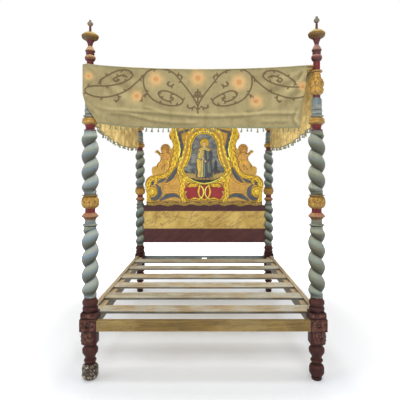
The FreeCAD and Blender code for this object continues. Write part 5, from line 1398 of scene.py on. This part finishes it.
# Tester rods. Thin iron rods, brown with rust, let into holes in the capitals; the front and back ones
# sag, and all four carry the canopy.
def build_rusted_rod(graph):
    """Rust in two browns over the whole rod."""
    rust = graph.noise(graph.place(), 70.0, 6.0, 0.65)
    return {
        "Base Color": graph.mix(graph.ease(rust, 0.35, 0.65), tone(106, 80, 52), tone(156, 122, 76)),
        "Roughness": graph.ease(rust, 0.2, 0.8, 0.7, 0.9), "Height": rust,
    }


rusted_rod = material("rusted_rod", build_rusted_rod, 0.5 * MM)
for place in ("front", "back", "left", "right"):
    dress(f"tester_rod_{place}", rusted_rod)

# Canopy. A roof of cloth over the rods and three valances, khaki outside and yellow inside, with brown
# vines and pale flowers worked on them. The vines are drawn in millimetres from the middle of a
# valance and from its hem; the stems repeat on the other half.
VINE_STEMS = (
    ((0, 120), (-3, 170), (-42, 237), (-101, 312), (-148, 366), (-219, 392), (-295, 382), (-336, 339),
     (-329, 264), (-278, 198), (-194, 167), (-118, 169), (-93, 198), (-135, 231), (-202, 256), (-245, 243),
     (-230, 212), (-184, 192), (-153, 206), (-170, 224)),
    ((-334, 350), (-388, 295), (-472, 231), (-591, 193), (-675, 203), (-695, 232), (-650, 256), (-557, 268),
     (-464, 296), (-408, 339), (-425, 370), (-489, 371), (-557, 335), (-606, 296)),
    ((-440, 330), (-462, 342), (-500, 330), (-526, 312), (-508, 300), (-490, 312)),
    ((0, 190), (0, 268)),
    ((0, 214), (-13, 232), (-15, 250)),
    ((-20, 160), (-46, 150), (-66, 158)),
    ((-135, 350), (-112, 356), (-96, 344)),
    ((-150, 296), (-172, 286), (-190, 298), (-178, 312)),
    ((-310, 236), (-345, 214), (-348, 186)),
    ((-500, 222), (-492, 192), (-510, 172)),
    ((-600, 296), (-612, 276)),
)
FLOWERS = (
    (-261, 327, 45), (0, 338, 50), (257, 309, 50), (-380, 216, 38), (366, 188, 42), (-672, 314, 28),
    (655, 264, 32),
)
LEAFLET_OUT, LEAFLET_LONG, LEAFLET_WIDE = 9 * MM, 11 * MM, 4.5 * MM


def vine_marks(x, rise):
    """Distance from the vine's stems, with their leaflets, and place within a flower."""
    across = -np.abs(x)
    stem = np.full(x.shape, 30 * MM)
    for points in VINE_STEMS:
        line = spline(points, 7) * MM
        for (x0, z0), (x1, z1) in zip(line[:-1], line[1:]):
            share, gap = from_run(across, rise, x0, z0, x1, z1)
            stem = np.minimum(stem, gap)
        for number in range(3, len(line) - 2, 9):
            (x0, z0), (x1, z1) = line[number - 1], line[number + 1]
            way = 1 if number % 4 else -1
            lean = math.atan2(z1 - z0, x1 - x0) + way * 0.9
            middle_x = line[number][0] + LEAFLET_OUT * math.cos(lean)
            middle_z = line[number][1] + LEAFLET_OUT * math.sin(lean)
            along = (across - middle_x) * math.cos(lean) + (rise - middle_z) * math.sin(lean)
            over = (rise - middle_z) * math.cos(lean) - (across - middle_x) * math.sin(lean)
            stem = np.minimum(stem, LEAFLET_WIDE * np.hypot(along / LEAFLET_LONG, over / LEAFLET_WIDE))
    bloom = np.full(x.shape, 2.0)
    for centre_x, centre_z, radius in FLOWERS:
        out = np.hypot(x - centre_x * MM, rise - centre_z * MM) / (radius * MM)
        turn = np.arctan2(rise - centre_z * MM, x - centre_x * MM)
        bloom = np.minimum(bloom, out / (0.88 + 0.12 * np.abs(np.cos(3 * turn + centre_x))))
    return stem, bloom


def build_weave(graph, given):
    """Plain cloth: warp and weft, slubs and old stains over its flat cut."""
    cut = graph.mark("cut", "Vector")
    warp = graph.noise(graph.stretch(cut, (1.0, 30.0, 1.0)), 34.0, 3.0)
    weft = graph.noise(graph.stretch(cut, (30.0, 1.0, 1.0)), 34.0, 3.0)
    stains = graph.noise(cut, 5.0, 5.0, 0.6)
    streaks = graph.noise(graph.stretch(cut, (9.0, 0.8, 1.0)), 3.0, 4.0)
    spots = graph.noise(cut, 26.0, 4.0, 0.6)
    threads = graph.plus(warp, weft)
    shade = graph.dim(given["Cloth"], graph.ease(threads, 0.7, 1.3, 0.86, 1.12))
    shade = graph.mix(graph.ease(stains, 0.42, 0.72, 0.0, 0.5), shade, given["Stain"])
    streaked = graph.times(graph.ease(streaks, 0.46, 0.68), given["Streaks"])
    shade = graph.mix(streaked, shade, given["Stain"])
    return {"Color": graph.dim(shade, graph.ease(spots, 0.3, 0.75, 1.06, 0.88)), "Height": threads}


WEAVE = shader_group(
    "weave", {"Cloth": tone(160, 148, 108), "Stain": tone(130, 116, 80), "Streaks": 0.3}, build_weave)


def build_vined_cloth(graph):
    """The outside: khaki cloth with the vine's brown stems and orange flowers worked on it."""
    out = graph.group(WEAVE, {"Cloth": tone(156, 143, 103), "Stain": tone(124, 113, 78), "Streaks": 0.25})
    stem, bloom = graph.mark("stem"), graph.mark("bloom")
    ragged = graph.less(graph.noise(graph.place(), 160.0, 3.0), 0.5)
    # Painted shade: the top band, where the cloth hangs from the rod, is darker grey-green.
    shade = graph.mix(graph.times(graph.mark("band"), 0.5), out["Color"], tone(122, 126, 98))
    shade = graph.mix(graph.times(graph.mark("damp"), 0.5), shade, tone(124, 98, 62))
    # Painted light and shade on the creases: cloth that stands out is lighter, cloth that falls back is
    # darker.
    shade = graph.dim(shade, graph.ease(graph.mark("crease_shade"), -3 * MM, 3 * MM, 0.66, 1.24))
    shade = graph.mix(graph.ease(bloom, 1.7, 0.6, 0.0, 0.45), shade, tone(190, 156, 104))
    edge = graph.plus(stem, graph.times(ragged, 4 * MM))
    shade = graph.mix(graph.ease(edge, 6.5 * MM, 3.8 * MM, 0.0, 0.84), shade, tone(92, 72, 52))
    petals = graph.mix(graph.ease(bloom, 0.24, 0.50), tone(190, 128, 76), tone(204, 164, 110))
    soft = graph.plus(bloom, graph.times(ragged, 0.50))
    shade = graph.mix(graph.ease(soft, 1.25, 0.30, 0.0, 0.70), shade, petals)
    return {
        "Base Color": shade, "Roughness": graph.ease(stem, 0.0, 0.01, 0.82, 0.9),
        "Specular IOR Level": 0.15, "Height": out["Height"],
    }


def build_lining(graph):
    """The inside: the same cloth, painted a pale warm yellow for light shining through it, browned in
    streaks down its folds.
    """
    # The pale yellow is painted light, standing in for light that shines through the thin cloth.
    out = graph.group(WEAVE, {"Cloth": tone(218, 196, 136), "Stain": tone(142, 108, 50), "Streaks": 0.35})
    faded = graph.noise(graph.stretch(graph.mark("cut", "Vector"), (1.0, 1.6, 1.0)), 9.0, 4.0)
    return {
        "Base Color": graph.dim(out["Color"], graph.ease(faded, 0.34, 0.66, 0.70, 1.16)),
        "Roughness": graph.ease(out["Height"], 0.6, 1.4, 0.86, 0.92),
        "Specular IOR Level": 0.15, "Height": out["Height"],
    }


vined_cloth = material("canopy_cloth", build_vined_cloth, 0.5 * MM)
lining = material("canopy_lining", build_lining, 0.5 * MM)
CLOTH_THICK = 1.6 * MM
DAMP_AT, DAMP_HALF, DAMP_RISE = 45 * MM, 11 * MM, 150 * MM
TOP_SHADE_BAND = 26 * MM


def hung_sheet(name, node, grid, cut_x, rise, cells=None, crease_shading=0.0):
    """A lined cloth from a grid of points, rows from its top to its hem, with its vine. The cut gives
    each point's place on the flat cloth; cells leaves out parts of the grid; the crease shading is how far
    its creases stand out, painted on the cloth as light and shade."""
    rows, columns = cut_x.shape
    faces = grid_faces(rows, columns)[:, ::-1]
    if cells is not None:
        faces = faces[cells.ravel()]
    stem, bloom = vine_marks(cut_x, rise)
    damp = np.exp(-((cut_x - DAMP_AT) / DAMP_HALF) ** 2) * np.clip(1.15 - rise / DAMP_RISE, 0, 1)
    marks = {
        "cut": np.stack((cut_x, rise, np.zeros(cut_x.shape)), axis=-1),
        "stem": stem, "bloom": bloom, "damp": damp,
        "band": np.clip(1 - (rise[:1] - rise) / TOP_SHADE_BAND, 0, 1),
        "crease_shade": np.broadcast_to(crease_shading, cut_x.shape),
    }
    piece = new_piece(name, grid, faces, [vined_cloth, lining], marks, outward=False)
    lined = piece.modifiers.new("lined", "SOLIDIFY")
    lined.thickness = CLOTH_THICK
    lined.offset = -1.0
    lined.material_offset = 1
    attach(piece, "frame")
    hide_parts(node)
    return piece


FOLD_PITCH, LONG_DRIFT, SHORT_DRIFT = 0.195, 0.63, 0.31


def creases(along, down, seed):
    """How far cloth stands out, in shares of a fold, irregular along its length and deeper below."""
    a, b, c, d = np.random.default_rng(seed).uniform(0, 2 * np.pi, 4)
    way = 2 * np.pi * along
    drift = 1.2 * np.sin(way / LONG_DRIFT + a) + 0.6 * np.sin(way / SHORT_DRIFT + b)
    phase = way / FOLD_PITCH + drift
    small = 0.4 * np.sin(2.3 * phase + 1.4 * down + c) + 0.16 * np.sin(5.1 * phase + 2.2 * down + d)
    return np.sin(phase) + small


def corner_pulls(x, z, corner_x, corner_z, reach):
    """Thin wrinkles that fan out from a corner the cloth hangs by."""
    out = np.hypot(x - corner_x, z - corner_z)
    fan = np.arctan2(corner_z - z, np.abs(x - corner_x))
    return np.sin(17 * fan + 5 * out) * np.exp(-((out - 0.4 * reach) / (0.5 * reach)) ** 2)


def eased(value, low, high):
    share = np.clip((value - low) / (high - low), 0, 1)
    return share * share * (3 - 2 * share)


ROOF_LEVEL = 1.9645
ROD_SAG = 0.030
POST_X, POST_Y = 0.710, 0.950


def roof_line(x):
    """Height of the canopy's upper edge over the sagging front and back rods."""
    return ROOF_LEVEL - ROD_SAG * (1 - np.clip(np.abs(x) / POST_X, 0, 1) ** 2)


# Front valance: one strip of cloth that wraps the left post, hangs by the rod and ends short of the right
# post. Its old creases are lines in millimetres from the middle of the bed and from the hem, each with
# its depth; the hem is a line of places across the bed and heights.
FRONT_HEM = 1.574
FRONT_END = 0.650
FRONT_SLANT = 0.044
FRONT_ROD_Y = -0.967
POST_LEAD = 0.0225
WRAP_RADIUS = 0.0465
HEM_PLACES = (-0.757, -0.72, -0.656, -0.50, -0.32, 0.68)
HEM_HEIGHTS = (1.796, 1.702, 1.602, 1.584, FRONT_HEM, FRONT_HEM)
VINE_MIDDLE = 35 * MM
CREASE_WIDTH, CREASE_FADE = 11 * MM, 40 * MM
OLD_CREASES = (
    (3.2, ((-732, 167), (-690, 115), (-643, 63))),
    (3.0, ((-680, 135), (-612, 115), (-492, 107), (-367, 99), (-237, 89), (-24, 73), (208, 76), (343, 89),
           (468, 89), (598, 91))),
    (2.2, ((-393, 135), (-315, 115), (-237, 89))),
    (2.4, ((-612, 94), (-472, 84), (-315, 47), (-160, 31), (-24, 31))),
    (2.0, ((343, 37), (546, 42))),
    (2.6, ((598, 135), (567, 52), (609, 5))),
    (2.2, ((406, 125), (343, 94), (229, 89))),
    (2.6, ((-732, 396), (-680, 354), (-664, 318))),
    (2.4, ((604, 370), (619, 344), (588, 276))),
)


def old_creases(x, rise):
    """A ridge with a hollow below it along each old crease, in metres."""
    folded = np.zeros(x.shape)
    for depth, points in OLD_CREASES:
        line = spline(points, 6) * MM
        lengths = lengths_along(line)
        nearest, side, along = np.full(x.shape, 1.0), np.zeros(x.shape), np.zeros(x.shape)
        for (x0, z0), (x1, z1), start in zip(line[:-1], line[1:], lengths[:-1]):
            length = max(math.hypot(x1 - x0, z1 - z0), 1e-6)
            share, gap = from_run(x, rise, x0, z0, x1, z1)
            closer = gap < nearest
            over = ((rise - z0) * (x1 - x0) - (x - x0) * (z1 - z0)) / length
            nearest = np.where(closer, gap, nearest)
            side = np.where(closer, np.sign(over), side)
            along = np.where(closer, start + share * length, along)
        fade = np.clip(np.minimum(along, lengths[-1] - along) / CREASE_FADE, 0, 1)
        away = nearest * side / CREASE_WIDTH
        folded += depth * MM * fade * (np.exp(-((away - 0.5) ** 2)) - np.exp(-((away + 0.7) ** 2)))
    return folded


wrap = np.radians(np.linspace(180, 300, 24))
straight = np.arange(-0.680, FRONT_END, 3.6 * MM)
path_x = np.concatenate((-POST_X + WRAP_RADIUS * np.cos(wrap), straight, [FRONT_END]))
to_rod = FRONT_ROD_Y - POST_LEAD * (1 - eased(path_x[len(wrap):], -0.690, -0.560))
path_y = np.concatenate((-POST_Y + WRAP_RADIUS * np.sin(wrap), to_rod))
path_s = lengths_along(np.column_stack((path_x, path_y)))
down = np.linspace(0, 1, 110)[:, None]
hem = np.interp(path_x, HEM_PLACES, HEM_HEIGHTS)
top = roof_line(path_x)
z = top - (top - hem) * down
x = path_x - FRONT_SLANT * down * eased(path_x, 0.20, FRONT_END)
loose = eased(path_x, -0.66, -0.50)
swing = creases(path_s[None, :], down, 5) * (1.2 + 2.8 * down) * MM * loose
pulls = corner_pulls(x, z, -0.70, 1.97, 0.42) + corner_pulls(x, z, 0.70, 1.97, 0.42)
pulls = pulls * 2.0 * MM * loose * np.sin(np.pi * np.clip(down * 1.2, 0, 1))
folds = old_creases(x, z - FRONT_HEM) * (0.35 + 0.65 * loose)
y = path_y - swing - pulls - folds
front_grid = np.stack(np.broadcast_arrays(x, y, z), axis=-1)
valance_front = hung_sheet(
    "valance_front_cloth", "valance_front", front_grid, x + VINE_MIDDLE, z - FRONT_HEM + (ROOF_LEVEL - top),
    crease_shading=folds + pulls)

# Side valances: each is a strip of the same cloth, hung by its rod between two posts with its hem
# sagging; from the foot of the bed its yellow inside shows.
SIDE_END = 0.898
SIDE_HEM_ENDS = (1.629, 1.589)
SIDE_SAG = 0.060
SIDE_ROD_X = 0.7285
SIDE_TOP = ROOF_LEVEL - 2 * MM
side_valances, side_hems = {}, {}
for side, name in ((-1, "left"), (1, "right")):
    along = np.linspace(-SIDE_END, SIDE_END, 400)
    hem = np.interp(along, (-SIDE_END, SIDE_END), SIDE_HEM_ENDS) - SIDE_SAG * (1 - (along / SIDE_END) ** 2)
    down = np.linspace(0, 1, 90)[:, None]
    z = SIDE_TOP - (SIDE_TOP - hem) * down
    swing = creases(along[None, :] + 1.0, down, 11 + side) * (3.0 + 6.0 * down) * MM
    y = np.broadcast_to(along, z.shape)
    grid = np.stack((side * (SIDE_ROD_X + swing), y, z), axis=-1)
    side_hems[name] = grid[-1]
    side_valances[name] = hung_sheet(
        f"valance_{name}_cloth", f"valance_{name}", grid[:, ::side], side * y[:, ::side],
        (z - FRONT_HEM)[:, ::side])

# Roof: one plain cloth laid over the four rods. It bellies down between them and is cut out at the four
# posts, and the vines stay off it.
ROOF_HALF_X, ROOF_HALF_Y = 0.734, 0.974
NOTCH_X, NOTCH_Y = 0.685, 0.925
BELLY = 0.026
CLEAR_OF_VINES = 3.0
across = np.concatenate(([-ROOF_HALF_X], np.linspace(-NOTCH_X, NOTCH_X, 131), [ROOF_HALF_X]))
length = np.concatenate(([-ROOF_HALF_Y], np.linspace(-NOTCH_Y, NOTCH_Y, 171), [ROOF_HALF_Y]))
x, y = np.meshgrid(across, length[::-1])
span = np.clip(1 - (x / POST_X) ** 2, 0, 1) * np.clip(1 - (y / POST_Y) ** 2, 0, 1)
ripple = 3.0 * MM * np.sin(2 * np.pi * x / 0.31 + 1.5 * np.sin(2 * np.pi * y / 0.8))
z = roof_line(x) + 1.8 * MM - (BELLY - ripple) * span
middle_x = np.abs(x[:-1, :-1] + x[1:, 1:]) / 2
middle_y = np.abs(y[:-1, :-1] + y[1:, 1:]) / 2
kept = (middle_x < NOTCH_X) | (middle_y < NOTCH_Y)
roof_grid = np.stack((x, y, z), axis=-1)
canopy_roof = hung_sheet(
    "canopy_roof_cloth", "canopy_roof", roof_grid, x + CLEAR_OF_VINES, y + CLEAR_OF_VINES, kept)


# Fringe. A braid sewn to each hem and one small tassel after another under it, dull with age; a few
# tassels are lost.
def build_thread(graph):
    """Twisted thread, dull grey-green with paler strands."""
    strands = graph.noise(graph.stretch(graph.place(), (8.0, 8.0, 1.0)), 60.0, 3.0)
    shade = graph.mix(graph.ease(strands, 0.3, 0.7), tone(96, 98, 70), tone(150, 146, 108))
    return {"Base Color": shade, "Roughness": graph.ease(strands, 0.0, 1.0, 0.8, 0.95), "Height": strands}


fringe_thread = material("fringe_thread", build_thread, 0.8 * MM)
# Outline of a tassel: radius and drop
TASSEL = np.array((
    (0.1, 1), (1.4, 0), (1.4, -6), (3.6, -7.5), (4.2, -10), (3.0, -12), (4.0, -17), (6.0, -30), (4.8, -31),
    (0.1, -31),
)) * MM
TASSEL_SIDES = 10
TASSEL_PITCH = 33 * MM
TASSELS_LOST = 0.12
TASSEL_NECK = -12 * MM
BRAID_RADIUS = 2.8 * MM
BRAID_HEIGHT = 1.5
BRAID_STEP, BRAID_PITCH = 4 * MM, 12 * MM
FRINGE_START = -0.657


def fringe(name, hem_line, seed):
    """Braid and tassels along a hem, as one piece."""
    chance = np.random.default_rng(seed)
    around = whole_turn(TASSEL_SIDES)
    steps = lengths_along(hem_line)
    spots = np.arange(0, steps[-1], BRAID_STEP)
    line = np.column_stack([np.interp(spots, steps, hem_line[:, axis]) for axis in range(3)])
    way = np.gradient(line, axis=0)
    over = np.cross(way, (0, 0, 1.0))
    over = over / np.linalg.norm(over, axis=1, keepdims=True)
    upward = np.cross(over, way / np.linalg.norm(way, axis=1, keepdims=True))
    thick = BRAID_RADIUS * (1 + 0.22 * np.sin(2 * np.pi * spots / BRAID_PITCH))
    thick[[0, -1]] = TIP
    turn = around[None, :, None]
    ring = over[:, None] * np.cos(turn) + upward[:, None] * BRAID_HEIGHT * np.sin(turn)
    points = [(line[:, None] + ring * thick[:, None, None]).reshape(-1, 3)]
    faces = [grid_faces(len(line), TASSEL_SIDES, closed=True)]
    count = len(points[0])
    for spot in np.arange(0.4 * TASSEL_PITCH, steps[-1] - 6 * MM, TASSEL_PITCH):
        lost = chance.uniform() < TASSELS_LOST
        spot = spot + chance.uniform(-4, 4) * MM
        lean = chance.normal(0, 0.10, 2)
        stretch, flare = chance.uniform(0.70, 1.0), chance.uniform(0.75, 1.25)
        flutes = 1 + 0.16 * np.sin(5 * around + chance.uniform(0, 6))
        if lost:
            continue
        place = [np.interp(spot, steps, hem_line[:, axis]) for axis in range(3)]
        drop = TASSEL[:, 1:] * stretch
        radius = TASSEL[:, :1] * flare * np.where(TASSEL[:, 1:] < TASSEL_NECK, flutes, 1.0)
        tassel = np.stack(np.broadcast_arrays(
            place[0] + radius * np.cos(around) + lean[0] * drop,
            place[1] + radius * np.sin(around) + lean[1] * drop,
            place[2] + drop), axis=-1)
        points.append(tassel.reshape(-1, 3))
        faces.append(grid_faces(len(TASSEL), TASSEL_SIDES, closed=True) + count)
        count += tassel.size // 3
    piece = new_piece(name, np.vstack(points), np.vstack(faces), [fringe_thread])
    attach(piece, "frame")
    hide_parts("valance_fringe")
    return piece


fringe_front = fringe("fringe_front", front_grid[-1][path_x > FRINGE_START], 21)
side_fringes = {
    name: fringe(f"fringe_{name}", side_hems[name], seed) for name, seed in (("left", 22), ("right", 23))
}
